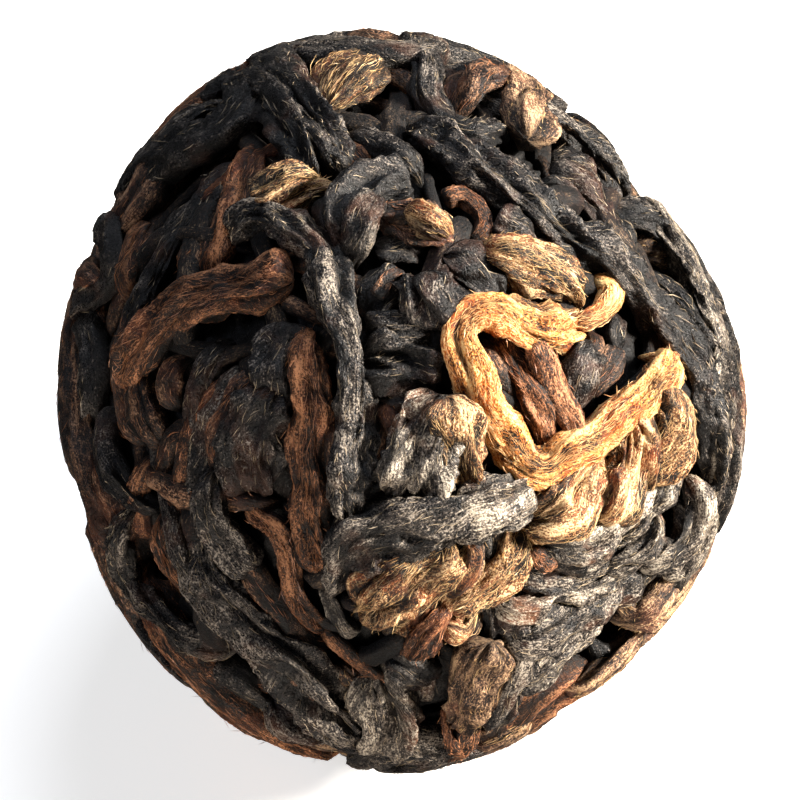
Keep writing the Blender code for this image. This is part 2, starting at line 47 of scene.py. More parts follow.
# The ball: the same form and the same laying rule as the solid, so each leaf lies on its own ridge
ballForm = {
    "meanRadius": 11.45,  # of the outline that the eye sees
    "depthRadius": 11.35,  # towards the eye
    # waves round the outline, their height, and where a crest lies in degrees
    "outlineWaves": ((1, 0.2, 196.0), (2, 0.5, 102.0), (3, 0.25, 117.0), (4, 0.15, 0.0)),
    "viewTilt": math.radians(45.0),  # height of the eye over the table
    "viewDistance": 150.0,
    "sightRounds": 8,
    "rimShare": 0.985,  # a line of sight further out than this wraps round the rim
    "rimWrap": 8.0,
    "flatDepth": 0.55,  # what the flat at the base takes off
}
layRule = {
    "bedDepth": 1.2,  # how far below the outline the lowest leaves lie
    "proud": 0.4,  # how far a leaf may stand out, and over what depth a prouder one is squeezed
    "pressed": 0.6,
    "flatness": 0.82,  # thickness against width
    "sunk": 0.12,  # how far a leaf sinks into what lies under it, against its thickness
    "tuckDepth": 0.6,  # how deep a slim end is drawn in, and over what length
    "tuckLength": 1.0,
    "bridge": 0.8,  # the length over which a leaf evens out what lies under it
    "footprint": 0.45,  # the half of its width that can rest on something
    "routeStep": 0.35,
    "bluntEnd": 0.8,  # width of an end against the full width
    "slimEnd": 0.4,
    "taperLength": 2.6,
    "taperedShare": 0.45,  # at most so much of a leaf tapers at each end
    "surveyPoints": 30000,
    "knotSteps": 24,
}
hiddenLeaves = {
    "seed": 41,
    "count": 90,
    "ends": "ssr",  # slim at both ends and rolled
    "lengths": (7.0, 15.0),
    "widths": (1.1, 1.9),
    "tries": 10,  # routes of which the one over the barest ground is taken
    "bends": 0.06,  # radians a millimetre
    "sways": (0.03, 0.1),
    "swayPace": 0.8,
    "hookedShare": 0.2,
    "hookTurn": 0.7,
    "hookReach": 1.7,
    "hookPlace": 0.3,  # how far from a leaf's middle its hook may be, against its length
    "patchiness": 0.2,
    "shownSide": 0.35,  # what faces the eye more than this is left to the traced leaves
    "rimFacing": -0.35,  # the rim is what faces the eye more than this and lies this far aside
    "rimAside": 0.62,
}

# The large leaves of the shown side, lowest first: width, ends (b blunt, s slim) with its
# form (r rolled, f folded flat), kind, and the route in millimetres right and up from the
# ball's middle, as the eye sees it
shoulderBands = (
    (1.3, "ssr", "dark", (-4.3, 11.9), (-1.1, 12.5), (1.8, 12.1)),
    (1.2, "ssr", "charcoal", (-5.6, 10.2), (-7.6, 8.9), (-9.3, 6.9)),
    (0.9, "ssr", "dark", (-6.2, 10.8), (-8.6, 9.0), (-10.3, 6.4)),
    (1.2, "ssr", "dark", (-11.0, 3.4), (-11.4, 1.2), (-11.2, -1.0)),
    (1.1, "ssr", "dark", (-10.8, -0.4), (-10.1, -2.6), (-9.0, -4.3)),
    (1.0, "ssr", "brown", (-9.3, 1.4), (-9.3, 0.2), (-8.7, -2.0)),
    (1.1, "ssr", "dark", (-10.5, -4.6), (-9.0, -7.2), (-7.0, -9.2), (-5.5, -10.5)),
    (1.2, "ssr", "charcoal", (-9.6, -3.8), (-9.2, -6.0), (-7.8, -7.6), (-6.0, -9.3)),
    (1.1, "ssr", "umber", (-8.9, -4.0), (-8.0, -6.2), (-7.0, -7.2)),
    (1.3, "ssf", "dark", (-0.7, -12.3), (0.8, -12.0), (1.9, -11.6)),
    (1.2, "ssf", "tan", (2.4, -11.7), (3.5, -11.2), (4.8, -10.5)),
    (1.1, "ssf", "tan", (4.9, 10.9), (6.9, 9.4), (8.9, 7.3)),
    (1.3, "ssf", "charcoal", (4.9, 9.6), (6.5, 8.5), (8.2, 6.8)),
    (1.1, "ssf", "tan", (9.0, 7.2), (10.6, 4.4), (11.4, 1.0)),
    (1.3, "ssf", "ash", (8.0, 7.0), (9.6, 4.5), (10.7, 1.2)),
    (0.9, "ssr", "dark", (8.9, 5.0), (9.7, 3.4), (10.3, 1.4)),
    (1.2, "ssf", "tan", (11.2, 0.6), (11.5, -1.5), (11.0, -4.2)),
    (1.3, "ssf", "tan", (10.7, -4.4), (9.7, -6.4), (8.2, -7.8), (5.4, -10.0)),
)
bottomLeaves = (
    (1.3, "ssr", "brown", (-6.6, -6.4), (-5.0, -8.4), (-3.4, -10.3), (-2.2, -11.4)),
    (1.2, "ssf", "charcoal", (3.3, -6.8), (3.7, -8.2), (3.3, -9.8), (2.7, -11.3)),
    (1.8, "ssf", "ash", (-0.9, -9.8), (-0.3, -11.0), (-0.3, -12.0)),
    (1.2, "bsf", "charcoal", (-0.5, -9.3), (0.3, -9.7), (1.3, -10.1)),
    (1.6, "ssf", "charcoal", (-7.5, -3.8), (-6.9, -5.7), (-5.3, -7.6), (-3.5, -9.3), (-1.2, -11.7)),
    (1.5, "bsf", "tan", (3.2, -8.2), (2.7, -9.4), (2.1, -11.3)),
    (1.0, "ssf", "charcoal", (4.3, -8.0), (4.1, -9.0), (3.1, -11.1)),
    (1.1, "ssf", "ash", (3.4, -9.9), (5.2, -8.9), (7.4, -7.6)),
    (1.2, "ssf", "charcoal", (3.6, -8.4), (5.6, -7.9), (7.9, -6.8)),
    (1.1, "ssf", "ash", (3.4, -7.3), (5.6, -7.1), (8.2, -6.1)),
    (1.2, "ssf", "charcoal", (3.6, -6.3), (5.8, -6.1), (8.3, -5.1)),
    (1.1, "ssf", "ash", (4.3, -5.3), (6.3, -5.2), (8.0, -4.3)),
    (1.1, "ssf", "ash", (10.4, -2.6), (9.8, -4.5), (8.3, -6.2)),
    (1.1, "ssf", "ash", (9.7, -1.8), (9.2, -3.6), (7.8, -5.2)),
    (1.0, "ssf", "ash", (9.0, -1.6), (8.6, -3.0), (7.0, -4.5)),
)
leftLeaves = (
    (1.0, "ssr", "dark", (-6.4, 2.2), (-7.2, 0.4), (-7.4, -1.6)),
    (0.9, "ssr", "charcoal", (-5.8, 1.2), (-6.8, -1.0), (-7.4, -4.1)),
    (1.0, "ssr", "brown", (-5.2, 1.2), (-6.2, -1.0), (-6.3, -4.4)),
    (1.25, "sbr", "charcoal", (-6.6, -2.4), (-6.5, -4.3), (-5.3, -6.2)),
    (1.2, "bsf", "dark", (-4.0, 2.8), (-4.3, 1.1), (-4.7, -0.6)),
    (1.4, "ssf", "dark", (-4.4, 0.6), (-5.2, -1.5), (-5.4, -3.8)),
    (1.2, "sbr", "umber", (-3.4, 2.6), (-3.2, -0.6), (-3.3, -3.5), (-2.7, -6.2)),
    (
        0.85, "ssr", "umber", (-5.7, -3.5), (-5.1, -4.2), (-4.5, -4.6), (-4.1, -5.9), (-3.7, -7.2),
        (-2.5, -8.7),
    ),
    (0.9, "ssr", "brown", (-6.9, 6.7), (-7.4, 5.4), (-8.0, 4.2)),
    (1.2, "ssr", "umber", (-4.8, 9.4), (-5.6, 7.8), (-6.1, 6.3), (-7.0, 4.4)),
    (1.0, "ssr", "dark", (-5.7, 8.9), (-7.0, 7.3), (-8.3, 5.3), (-9.2, 3.8), (-10.0, 2.2)),
    (1.3, "ssr", "straw", (-5.3, 6.4), (-3.9, 7.2), (-2.2, 7.9)),
    (1.5, "bsf", "dark", (0.4, 7.6), (-1.0, 7.3), (-1.9, 6.6), (-2.1, 5.3)),
    (1.7, "bsr", "umber", (-3.8, 4.2), (-6.2, 3.9), (-8.2, 3.0), (-9.8, 0.4)),
)
middleLeaves = (
    (1.1, "bbf", "dark", (-1.2, 2.6), (0.1, 2.7), (1.4, 2.7)),
    (1.5, "bbf", "dark", (-1.3, 1.3), (0.1, 1.4), (1.5, 1.3)),
    (1.9, "bsf", "ash", (-1.3, -3.3), (0.5, -2.9), (2.3, -2.1)),
    (1.5, "bsf", "ash", (1.2, 0.3), (0.4, -1.4), (-0.6, -3.3)),
    (1.5, "bsf", "ash", (1.3, 0.2), (1.1, -1.5), (0.7, -3.4)),
    (1.3, "bsf", "straw", (1.5, 0.1), (1.9, -1.3), (2.4, -3.0)),
    (1.8, "ssf", "charcoal", (-2.0, -6.9), (-1.3, -5.2), (0.7, -4.3), (2.6, -3.6)),
    (1.6, "ssf", "ash", (1.6, -4.4), (3.2, -3.7), (5.0, -3.2)),
    (1.6, "ssf", "straw", (1.8, -4.7), (0.0, -6.1), (-1.6, -7.6)),
    (1.8, "ssf", "straw", (2.5, -5.0), (0.9, -6.8), (-0.8, -8.2)),
    (1.3, "ssr", "umber", (1.8, -6.8), (0.9, -7.9), (0.3, -9.0)),
    (1.1, "ssf", "straw", (4.3, -4.4), (3.7, -5.8), (1.6, -7.3)),
    (1.0, "bsr", "straw", (1.4, -7.7), (2.2, -7.9), (3.0, -7.4)),
    (1.8, "ssf", "straw", (4.4, -4.6), (6.0, -3.5), (7.4, -2.0)),
    (1.9, "bsf", "straw", (8.9, 0.4), (9.1, -1.2), (8.6, -3.2)),
    (1.5, "ssf", "straw", (8.2, -0.6), (7.9, -2.4), (6.9, -4.2)),
    (0.6, "bsr", "brown", (-1.8, 4.4), (-1.5, 3.7), (-1.3, 3.0)),
    (0.9, "bbr", "dark", (-1.3, 3.2), (-0.7, 4.0), (-0.2, 4.8)),
    (1.3, "ssf", "dark", (0.6, 4.6), (0.8, 3.6), (0.5, 2.6)),
    (1.0, "bsf", "dark", (0.9, 4.3), (1.2, 3.3), (1.8, 2.3)),
    (1.8, "bbf", "dark", (1.5, 5.0), (2.4, 4.3), (3.5, 3.4)),
    (1.85, "ssr", "straw", (2.8, 5.2), (4.6, 4.7), (6.6, 3.5)),
    (1.2, "bsf", "brown", (-0.8, 6.5), (0.5, 6.3), (2.0, 5.9)),
    (1.0, "ssr", "dark", (-1.9, 9.6), (-0.6, 8.9), (0.9, 7.9)),
)
topLeaves = (
    (1.85, "bbr", "straw", (-2.9, 10.0), (-2.0, 10.9), (-0.6, 11.4)),
    (1.35, "bsr", "dark", (-5.7, 10.2), (-5.2, 10.6), (-4.6, 10.4), (-3.9, 9.5), (-3.1, 7.9)),
    (1.25, "bsr", "dark", (-6.1, 10.3), (-5.7, 11.2), (-4.9, 11.6), (-3.9, 10.9), (-2.0, 8.2)),
    (1.1, "ssr", "dark", (0.5, 12.3), (0.9, 10.9), (1.6, 10.0), (2.8, 9.6), (4.0, 9.7)),
    (0.9, "ssr", "dark", (1.6, 12.0), (3.0, 11.5), (4.1, 10.6)),
    (1.75, "sbr", "tan", (3.8, 11.1), (4.3, 10.1), (4.5, 9.0)),
    (
        1.3, "ssr", "charcoal", (-6.0, 5.6), (-4.8, 6.3), (-3.0, 5.5), (-2.3, 3.8), (-1.6, 0.9),
        (-1.8, -4.3),
    ),
    (1.5, "ssr", "dark", (0.0, 9.9), (2.8, 8.3), (5.7, 6.2), (8.3, 4.1), (10.0, 1.5), (10.6, -3.2)),
    (0.95, "ssr", "umber", (3.4, 2.4), (4.3, 0.9), (5.2, -0.7), (5.6, -2.4)),
    (
        1.35, "ssr", "gold", (4.4, 2.4), (3.0, 2.9), (2.1, 2.3), (2.4, 0.6), (3.5, -1.2), (4.8, -2.3),
        (6.2, -1.6), (9.3, 1.5),
    ),
    (1.45, "bsf", "gold", (3.4, 3.2), (4.9, 2.5), (6.9, 2.7)),
    (0.75, "ssr", "gold", (6.2, 2.7), (7.2, 3.1), (7.6, 3.9), (7.1, 4.6)),
)
laidLeaves = shoulderBands + bottomLeaves + leftLeaves + middleLeaves + topLeaves

# Small leaves that only the dressed pearl has: those in the gaps lie on the bed, the others on top
gapLeaves = (
    (0.6, "ssr", "dark", (-6.6, 8.3), (-7.4, 7.2), (-8.9, 5.3)),
    (0.8, "bsr", "brown", (-4.1, 8.5), (-4.6, 7.8), (-5.0, 7.1)),
    (0.8, "ssr", "umber", (-2.4, 9.6), (-1.9, 8.9), (-1.1, 8.2)),
    (0.8, "ssr", "brown", (-8.0, 1.8), (-8.4, 0.7), (-8.3, -0.5)),
    (0.7, "ssr", "dark", (-5.0, 2.6), (-5.2, 1.1), (-5.1, 0.2)),
    (0.6, "ssr", "brown", (-3.3, 2.3), (-3.1, 1.1), (-3.0, 0.3)),
    (0.6, "ssr", "brown", (-2.4, 0.1), (-2.3, -2.0), (-2.0, -4.1)),
    (0.7, "ssr", "charcoal", (-4.3, -8.1), (-3.6, -8.8), (-2.7, -9.7)),
    (0.7, "ssr", "umber", (-5.9, -10.3), (-4.6, -10.3), (-3.7, -10.7)),
    (0.8, "bsr", "tan", (-2.2, -9.6), (-1.7, -10.1), (-1.2, -10.5)),
    (0.8, "ssf", "dark", (5.0, -8.4), (4.6, -9.5), (4.0, -10.6)),
    (0.9, "bsf", "dark", (-0.9, 5.4), (0.1, 5.5), (1.2, 5.3)),
    (0.9, "ssf", "dark", (-0.9, 0.5), (0.0, 0.3), (0.9, 0.3)),
    (0.7, "bsr", "brown", (-0.6, -0.1), (-0.2, -0.8), (0.1, -1.4)),
    (0.5, "bsr", "charcoal", (0.0, 0.1), (0.4, -0.4), (0.7, -0.8)),
    (0.4, "ssr", "dark", (-1.0, -2.3), (0.0, -1.9), (0.8, -0.9)),
    (0.5, "ssr", "brown", (2.9, 2.4), (3.6, 0.9), (4.7, -0.7)),
    (0.8, "ssf", "dark", (7.3, 2.0), (6.6, 0.8), (6.2, -0.2)),
    (0.7, "ssr", "dark", (8.2, 3.2), (7.9, 2.3), (8.4, 1.8)),
    (0.7, "ssr", "brown", (7.3, 2.6), (7.0, 1.9), (6.3, 1.5)),
    (0.9, "bsf", "dark", (3.5, 6.6), (4.2, 6.2), (4.9, 5.9)),
    (0.8, "ssr", "charcoal", (0.2, 12.2), (1.3, 12.0), (3.6, 11.0)),
    (0.8, "ssf", "dark", (5.1, 8.2), (6.1, 7.7), (7.2, 6.7), (8.0, 5.4)),
    (0.8, "ssf", "dark", (6.6, 8.0), (7.5, 7.0), (8.2, 5.9), (8.8, 4.8)),
    (0.8, "ssf", "charcoal", (4.1, -6.4), (5.5, -6.4), (7.3, -6.3)),
    (0.9, "ssf", "charcoal", (3.0, -4.3), (3.2, -5.0), (2.7, -6.0)),
    (0.8, "ssf", "dark", (8.3, -3.1), (7.9, -4.0), (7.2, -4.9)),
    (1.1, "ssf", "ash", (9.2, -3.6), (8.6, -4.8), (7.4, -5.9)),
    (1.0, "ssf", "charcoal", (9.4, -5.0), (8.6, -6.3), (7.3, -7.3)),
    (1.0, "ssf", "dark", (5.4, 9.0), (6.7, 8.1), (7.9, 6.8)),
)
overLeaves = (
    (0.9, "ssf", "dark", (7.0, 2.0), (6.5, 1.0), (6.2, -0.3)),
    (0.9, "ssf", "dark", (5.3, 8.6), (6.6, 7.6), (7.7, 6.3)),
    (1.3, "bsr", "straw", (-5.0, 6.8), (-4.0, 7.4), (-2.9, 7.9)),
    (0.6, "ssf", "tan", (11.0, 2.2), (11.3, 0.2), (11.1, -2.0)),
    (0.9, "ssf", "ash", (9.0, -3.9), (8.3, -5.1), (7.2, -6.0)),
    (0.8, "bsr", "brown", (7.8, 1.9), (7.6, 1.1), (6.9, 0.2)),
    (0.75, "ssr", "umber", (4.4, 2.3), (5.2, 0.9), (5.9, -0.6), (6.1, -1.7)),
    (1.2, "bsr", "umber", (-9.0, 6.4), (-9.6, 5.1), (-10.1, 3.6)),
    (0.6, "ssr", "charcoal", (-9.3, -1.2), (-8.6, -3.2), (-7.6, -4.9), (-5.4, -8.3)),
    (1.0, "bsr", "charcoal", (-0.8, 6.9), (-1.3, 6.2), (-1.5, 5.5), (-1.8, 4.8)),
    (0.6, "ssr", "ash", (-3.0, -6.6), (-2.5, -7.5), (-1.6, -8.9)),
    (0.4, "ssr", "charcoal", (1.1, -9.5), (1.0, -10.4), (0.9, -11.2)),
    (0.5, "ssr", "umber", (1.5, -11.1), (1.9, -11.6), (2.4, -12.1)),
    (1.1, "bsf", "brown", (3.4, 10.9), (2.6, 11.0), (1.9, 10.6)),
    (0.5, "ssr", "rust", (2.4, -4.5), (2.5, -5.3), (1.6, -6.9)),
    (0.4, "ssr", "tan", (2.9, -4.8), (2.7, -5.8), (1.9, -6.8)),
    (0.4, "bbr", "ash", (-0.8, 2.9), (-0.4, 3.5), (0.1, 3.8)),
    (0.5, "bsr", "brown", (-0.9, 3.6), (-0.3, 4.3), (0.1, 4.6)),
    (0.6, "ssr", "gold", (8.9, 1.6), (9.7, 1.1), (9.6, 0.4), (8.7, 0.1)),
    (0.7, "bsr", "umber", (1.6, 7.4), (2.2, 7.5), (2.9, 7.0), (3.1, 6.4), (2.8, 6.0), (2.3, 6.1)),
    (0.8, "ssf", "straw", (0.2, 6.6), (1.0, 6.1), (1.9, 5.8)),
    (0.6, "ssr", "straw", (1.2, 7.0), (1.6, 6.6), (2.0, 6.2)),
    (0.6, "ssr", "charcoal", (7.0, 7.6), (8.3, 6.0), (8.9, 5.1)),
    (0.7, "ssr", "ash", (10.5, -3.3), (10.0, -4.8), (9.1, -6.1)),
    (0.5, "bsr", "umber", (4.5, -5.2), (5.0, -5.7), (5.5, -5.3)),
)
gapFill = {
    "seed": 77,
    "count": 260,
    "ends": "ssr",
    "lengths": (3.5, 7.5),
    "widths": (0.45, 1.05),
    "sinks": (-0.15, 0.5),  # how far below the bed they lie
    "scatter": 0.05,  # how far their middles are moved off an even spread
    "kinds": (("buried", 0.74), ("brown", 0.24), ("umber", 0.02)),
}
# How finely leaves are meshed: the traced ones, and against them all others
fineness = {"traced": 1.0, "hidden": 0.6, "gap": 0.9, "fill": 0.42}
# What the hidden leaves are: the right-hand rim of the shown side is paler, its left browner;
# the paler right rim is in part painted light, where the key lamp grazes that side
hiddenKinds = {
    "rightRim": (("tan", 0.3), ("dark", 0.3), ("charcoal", 0.2), ("ash", 0.2)),
    "leftRim": (("dark", 0.45), ("brown", 0.35), ("charcoal", 0.2)),
    "elsewhere": (
        ("dark", 0.32), ("charcoal", 0.2), ("brown", 0.14), ("umber", 0.13), ("straw", 0.08),
        ("gold", 0.05), ("tan", 0.08),
    ),
}


# Vectors over their lengths
def unit(vectors):
    return vectors / np.linalg.norm(vectors, axis=-1, keepdims=True)


# Evenly spread directions: a spiral from pole to pole that turns by the golden angle
def surveyDirections(count):
    index = np.arange(count) + 0.5
    up = 1.0 - 2.0 * index / count
    turn = index * math.pi * (3.0 - math.sqrt(5.0))
    level = np.sqrt(1.0 - up * up)
    return np.stack([level * np.cos(turn), level * np.sin(turn), up], axis=1)


# Right, up and towards the eye, as the shown side is drawn
def viewAxes():
    tilt = ballForm["viewTilt"]
    right = np.array([1.0, 0.0, 0.0])
    up = np.array([0.0, math.sin(tilt), math.cos(tilt)])
    return np.stack([right, up, np.cross(right, up)])


# The ball's radius in a direction: its depth, growing to the waved outline at the rim
def outlineRadius(directions):
    seen = directions @ viewAxes().T
    roundAngle = np.arctan2(seen[..., 1], seen[..., 0])
    rim = np.hypot(seen[..., 0], seen[..., 1])
    radius = ballForm["depthRadius"] + (ballForm["meanRadius"] - ballForm["depthRadius"]) * rim**2
    for waves, crestHeight, crest in ballForm["outlineWaves"]:
        wave = np.cos(waves * (roundAngle - math.radians(crest)))
        radius = radius + crestHeight * rim ** max(waves, 2) * wave
    return radius


# The direction that leans from the eye's own by a tilt, towards a side of the picture
def tilted(toward, tilt):
    return np.array([*(toward * math.sin(tilt)), math.cos(tilt)]) @ viewAxes()


# Where a line of sight meets the ball, found in a few rounds; past the rim it wraps round
def seenToDirection(right, up):
    aside = math.hypot(right, up)
    toward = np.array([right, up]) / aside
    tilt = 0.0
    for _ in range(ballForm["sightRounds"]):
        radius = outlineRadius(tilted(toward, tilt)[None])[0]
        shown = aside * (1.0 - radius * math.cos(tilt) / ballForm["viewDistance"]) / radius
        tilt = math.asin(min(shown, ballForm["rimShare"]))
    return tilted(toward, tilt + ballForm["rimWrap"] * max(shown - ballForm["rimShare"], 0.0))


# A smooth route over the ball through the places of a traced leaf
def tracedRoute(places):
    knots = np.array([seenToDirection(*place) for place in places])
    ends = np.concatenate([2.0 * knots[:1] - knots[1:2], knots, 2.0 * knots[-1:] - knots[-2:-1]])
    wanted = 1.0 + np.linspace(0.0, len(knots) - 1.0, (len(knots) - 1) * layRule["knotSteps"] + 1)
    return evenSteps(unit(throughPoints(ends, wanted)))


# Values between evenly spaced ones, each stretch a cubic set by the four nearest
def throughPoints(values, wanted):
    start = np.clip(np.floor(wanted).astype(int), 0, len(values) - 2)
    share = (wanted - start).reshape((-1,) + (1,) * (values.ndim - 1))
    before = values[np.maximum(start - 1, 0)]
    here = values[start]
    after = values[start + 1]
    beyond = values[np.minimum(start + 2, len(values) - 1)]
    return 0.5 * (
        2.0 * here
        + (after - before) * share
        + (2.0 * before - 5.0 * here + 4.0 * after - beyond) * share**2
        + (3.0 * here - before - 3.0 * after + beyond) * share**3
    )


# The same curve in steps of one length
def evenSteps(curve):
    lengths = np.linalg.norm(np.diff(curve, axis=0), axis=1) * ballForm["meanRadius"]
    travelled = np.concatenate([[0.0], np.cumsum(lengths)])
    count = max(4, int(round(travelled[-1] / layRule["routeStep"])) + 1)
    wanted = np.linspace(0.0, travelled[-1], count)
    return unit(np.stack([np.interp(wanted, travelled, places) for places in curve.T], axis=1))


# Steps over the ball from a start, turning a little at each
def walk(start, heading, turns):
    angle = layRule["routeStep"] / ballForm["meanRadius"]
    place = start
    route = []
    for turn in turns:
        side = np.cross(place, heading)
        heading = unit(heading * math.cos(turn) + side * math.sin(turn))
        moved = unit(place * math.cos(angle) + heading * math.sin(angle))
        heading = unit(np.cross(np.cross(place, heading), moved))
        place = moved
        route.append(place)
    return route


# A route through its middle: a steady bend with a slow sway, and now and then a hook
def wanderingRoute(rng, middle, length):
    step = layRule["routeStep"]
    heading = unit(np.cross(middle, rng.normal(size=3)))
    steps = int(length / step / 2.0)
    travelled = np.arange(-steps, steps) * step
    bend = rng.normal(0.0, hiddenLeaves["bends"])
    sway = rng.uniform(*hiddenLeaves["sways"])
    turns = bend + sway * np.sin(travelled * hiddenLeaves["swayPace"] + rng.uniform(0.0, 2.0 * math.pi))
    hookAt = rng.uniform(-hiddenLeaves["hookPlace"], hiddenLeaves["hookPlace"]) * length
    hookSide = rng.choice([-1.0, 1.0])
    if rng.uniform() < hiddenLeaves["hookedShare"]:
        hooked = np.abs(travelled - hookAt) < hiddenLeaves["hookReach"]
        turns = turns + hookSide * hiddenLeaves["hookTurn"] * hooked
    turns = turns * step
    forward = walk(middle, heading, turns[steps:])
    backward = walk(middle, -heading, -turns[:steps][::-1])
    return np.array(backward[::-1] + [middle] + forward)


# Of a few routes through the barest place, the one over the barest ground
def barestRoute(rng, survey, bareness, length):
    middle = survey[np.argmax(bareness)]
    tries = [wanderingRoute(rng, middle, length) for _ in range(hiddenLeaves["tries"])]
    grounds = [bareness[(route @ survey.T).argmax(axis=1)].mean() for route in tries]
    return tries[int(np.argmax(grounds))]


# Width along a leaf against its full width: slim or blunt towards each end
def endShares(count, length, ends):
    travelled = np.linspace(0.0, length, count)
    shares = np.ones(count)
    for end, gone in zip(ends, (travelled, travelled[::-1])):
        least = layRule["bluntEnd"] if end == "b" else layRule["slimEnd"]
        taper = min(layRule["taperLength"], length * layRule["taperedShare"])
        grown = np.clip(gone / taper, 0.0, 1.0)
        shares = shares * (least + (1.0 - least) * np.sqrt(grown * (2.0 - grown)))
    return shares


# How far each point is drawn into the ball: only at slim ends
def tuck(count, length, ends):
    travelled = np.linspace(0.0, length, count)
    drawn = np.zeros(count)
    for end, gone in zip(ends, (travelled, travelled[::-1])):
        if end == "s":
            reach = min(layRule["tuckLength"], length * layRule["taperedShare"])
            drawn += layRule["tuckDepth"] * np.clip(1.0 - gone / reach, 0.0, 1.0) ** 2
    return drawn


# Each value averaged with those along the leaf, by a bell curve as wide as the reach
def averagedAlong(values, reach):
    offsets = np.arange(len(values)) * layRule["routeStep"]
    weights = np.exp(-0.5 * ((offsets[:, None] - offsets[None, :]) / reach) ** 2)
    return (weights @ values) / weights.sum(axis=1)


# Lays one leaf: its middle follows the highest thing under it, evened out along its length,
# and is squeezed where it would stand too proud; heights then holds the new top
def layLeaf(heights, survey, route, width, ends):
    length = (len(route) - 1) * layRule["routeStep"]
    widths = width * endShares(len(route), length, ends)
    thick = widths * layRule["flatness"]
    closeness = route @ survey.T
    reach = np.cos(widths * layRule["footprint"] / ballForm["meanRadius"])[:, None]
    support = np.where(closeness > reach, heights, 0.0).max(axis=1)
    outline = outlineRadius(route)
    bed = outline - layRule["bedDepth"]
    middle = averagedAlong(np.maximum(support, bed), layRule["bridge"]) + thick * (0.5 - layRule["sunk"])
    limit = outline + layRule["proud"] - thick * 0.5 - layRule["pressed"]
    over = np.maximum(middle - limit, 0.0)
    middle = np.minimum(middle, limit) + layRule["pressed"] * np.tanh(over / layRule["pressed"])
    middle = middle - tuck(len(route), length, ends)
    nearest = closeness.argmax(axis=0)
    aside = np.arccos(np.clip(closeness.max(axis=0), -1.0, 1.0)) * ballForm["meanRadius"]
    share = np.clip(aside / (widths[nearest] * 0.5), 0.0, 1.0)
    top = middle[nearest] + thick[nearest] * 0.5 * np.sqrt(1.0 - share**2)
    covered = share < 1.0
    heights[covered] = np.maximum(heights[covered], top[covered])
    return middle, widths


# A kind drawn by its share
def drawKind(rng, kinds):
    shares = np.cumsum([share for _, share in kinds])
    return kinds[min(int(np.searchsorted(shares, rng.uniform() * shares[-1])), len(kinds) - 1)][0]


# What a hidden leaf is made of goes by where it lies, as the eye sees it
def hiddenKind(rng, direction):
    right, _, toward = viewAxes() @ direction
    if toward > hiddenLeaves["rimFacing"] and abs(right) > hiddenLeaves["rimAside"]:
        return drawKind(rng, hiddenKinds["rightRim" if right > 0.0 else "leftRim"])
    return drawKind(rng, hiddenKinds["elsewhere"])


# A leaf: its middle line in millimetres, its widths along it, and what it is
def newLeaf(route, middle, widths, kind, ends, fine):
    return {"line": route * middle[:, None], "widths": widths, "kind": kind, "ends": ends, "fine": fine}


# A leaf of a gap: it lies at the bed or below, under whatever else is there
def gapLeaf(route, width, ends, kind, sink, fine):
    length = (len(route) - 1) * layRule["routeStep"]
    widths = width * endShares(len(route), length, ends)
    middle = outlineRadius(route) - layRule["bedDepth"] - sink + widths * layRule["flatness"] * 0.5
    return newLeaf(route, middle - tuck(len(route), length, ends), widths, kind, ends, fine)


# All leaves: the hidden side barest place first, then the traced leaves, then those of the gaps
def layAllLeaves():
    rng = np.random.default_rng(hiddenLeaves["seed"])
    kindRng = np.random.default_rng(hiddenLeaves["seed"] + 1)
    survey = surveyDirections(layRule["surveyPoints"])
    outline = outlineRadius(survey)
    heights = outline - layRule["bedDepth"]
    hidden = survey @ viewAxes()[2] < hiddenLeaves["shownSide"]
    leaves = []
    for _ in range(hiddenLeaves["count"]):
        bareness = outline - heights + rng.uniform(0.0, hiddenLeaves["patchiness"], len(survey))
        bareness = np.where(hidden, bareness, 0.0)
        length = rng.uniform(*hiddenLeaves["lengths"])
        width = rng.uniform(*hiddenLeaves["widths"])
        route = barestRoute(rng, survey, bareness, length)
        middle, widths = layLeaf(heights, survey, route, width, hiddenLeaves["ends"])
        kind = hiddenKind(kindRng, route[len(route) // 2])
        leaves.append(newLeaf(route, middle, widths, kind, hiddenLeaves["ends"], fineness["hidden"]))
    for width, ends, kind, *places in laidLeaves + overLeaves:
        route = tracedRoute(places)
        middle, widths = layLeaf(heights, survey, route, width, ends)
        leaves.append(newLeaf(route, middle, widths, kind, ends, fineness["traced"]))
    for width, ends, kind, *places in gapLeaves:
        leaves.append(gapLeaf(tracedRoute(places), width, ends, kind, 0.0, fineness["gap"]))
    fillRng = np.random.default_rng(gapFill["seed"])
    for start in surveyDirections(gapFill["count"]):
        length = fillRng.uniform(*gapFill["lengths"])
        middle = unit(start + fillRng.normal(0.0, gapFill["scatter"], 3))
        route = wanderingRoute(fillRng, middle, length)
        width = fillRng.uniform(*gapFill["widths"])
        sink = fillRng.uniform(*gapFill["sinks"])
        kind = drawKind(fillRng, gapFill["kinds"])
        leaves.append(gapLeaf(route, width, gapFill["ends"], kind, sink, fineness["fill"]))
    return leaves


# Large odd factors that scatter whole numbers: for each way, for the seed and for a second round
hashFactors = (73856093, 19349663, 83492791, 374761393, 1274126177)


# Smooth noise from -1 to 1: hashed values at whole-number points, blended between them
def latticeNoise(places, seed):
    base = np.floor(places).astype(np.int64)
    part = places - base
    blend = part * part * (3.0 - 2.0 * part)
    total = np.zeros(places.shape[:-1])
    first, second, third, forSeed, again = hashFactors
    for corner in itertools.product((0, 1), repeat=3):
        at = base + np.array(corner)
        mixed = at[..., 0] * first ^ at[..., 1] * second ^ at[..., 2] * third ^ seed * forSeed
        mixed = (mixed ^ (mixed >> 13)) * again & 0xFFFFFFFF
        mixed = mixed ^ (mixed >> 16)
        weight = np.where(np.array(corner) == 1, blend, 1.0 - blend).prod(axis=-1)
        total += ((mixed & 0xFFFF) / 32767.5 - 1.0) * weight
    return total


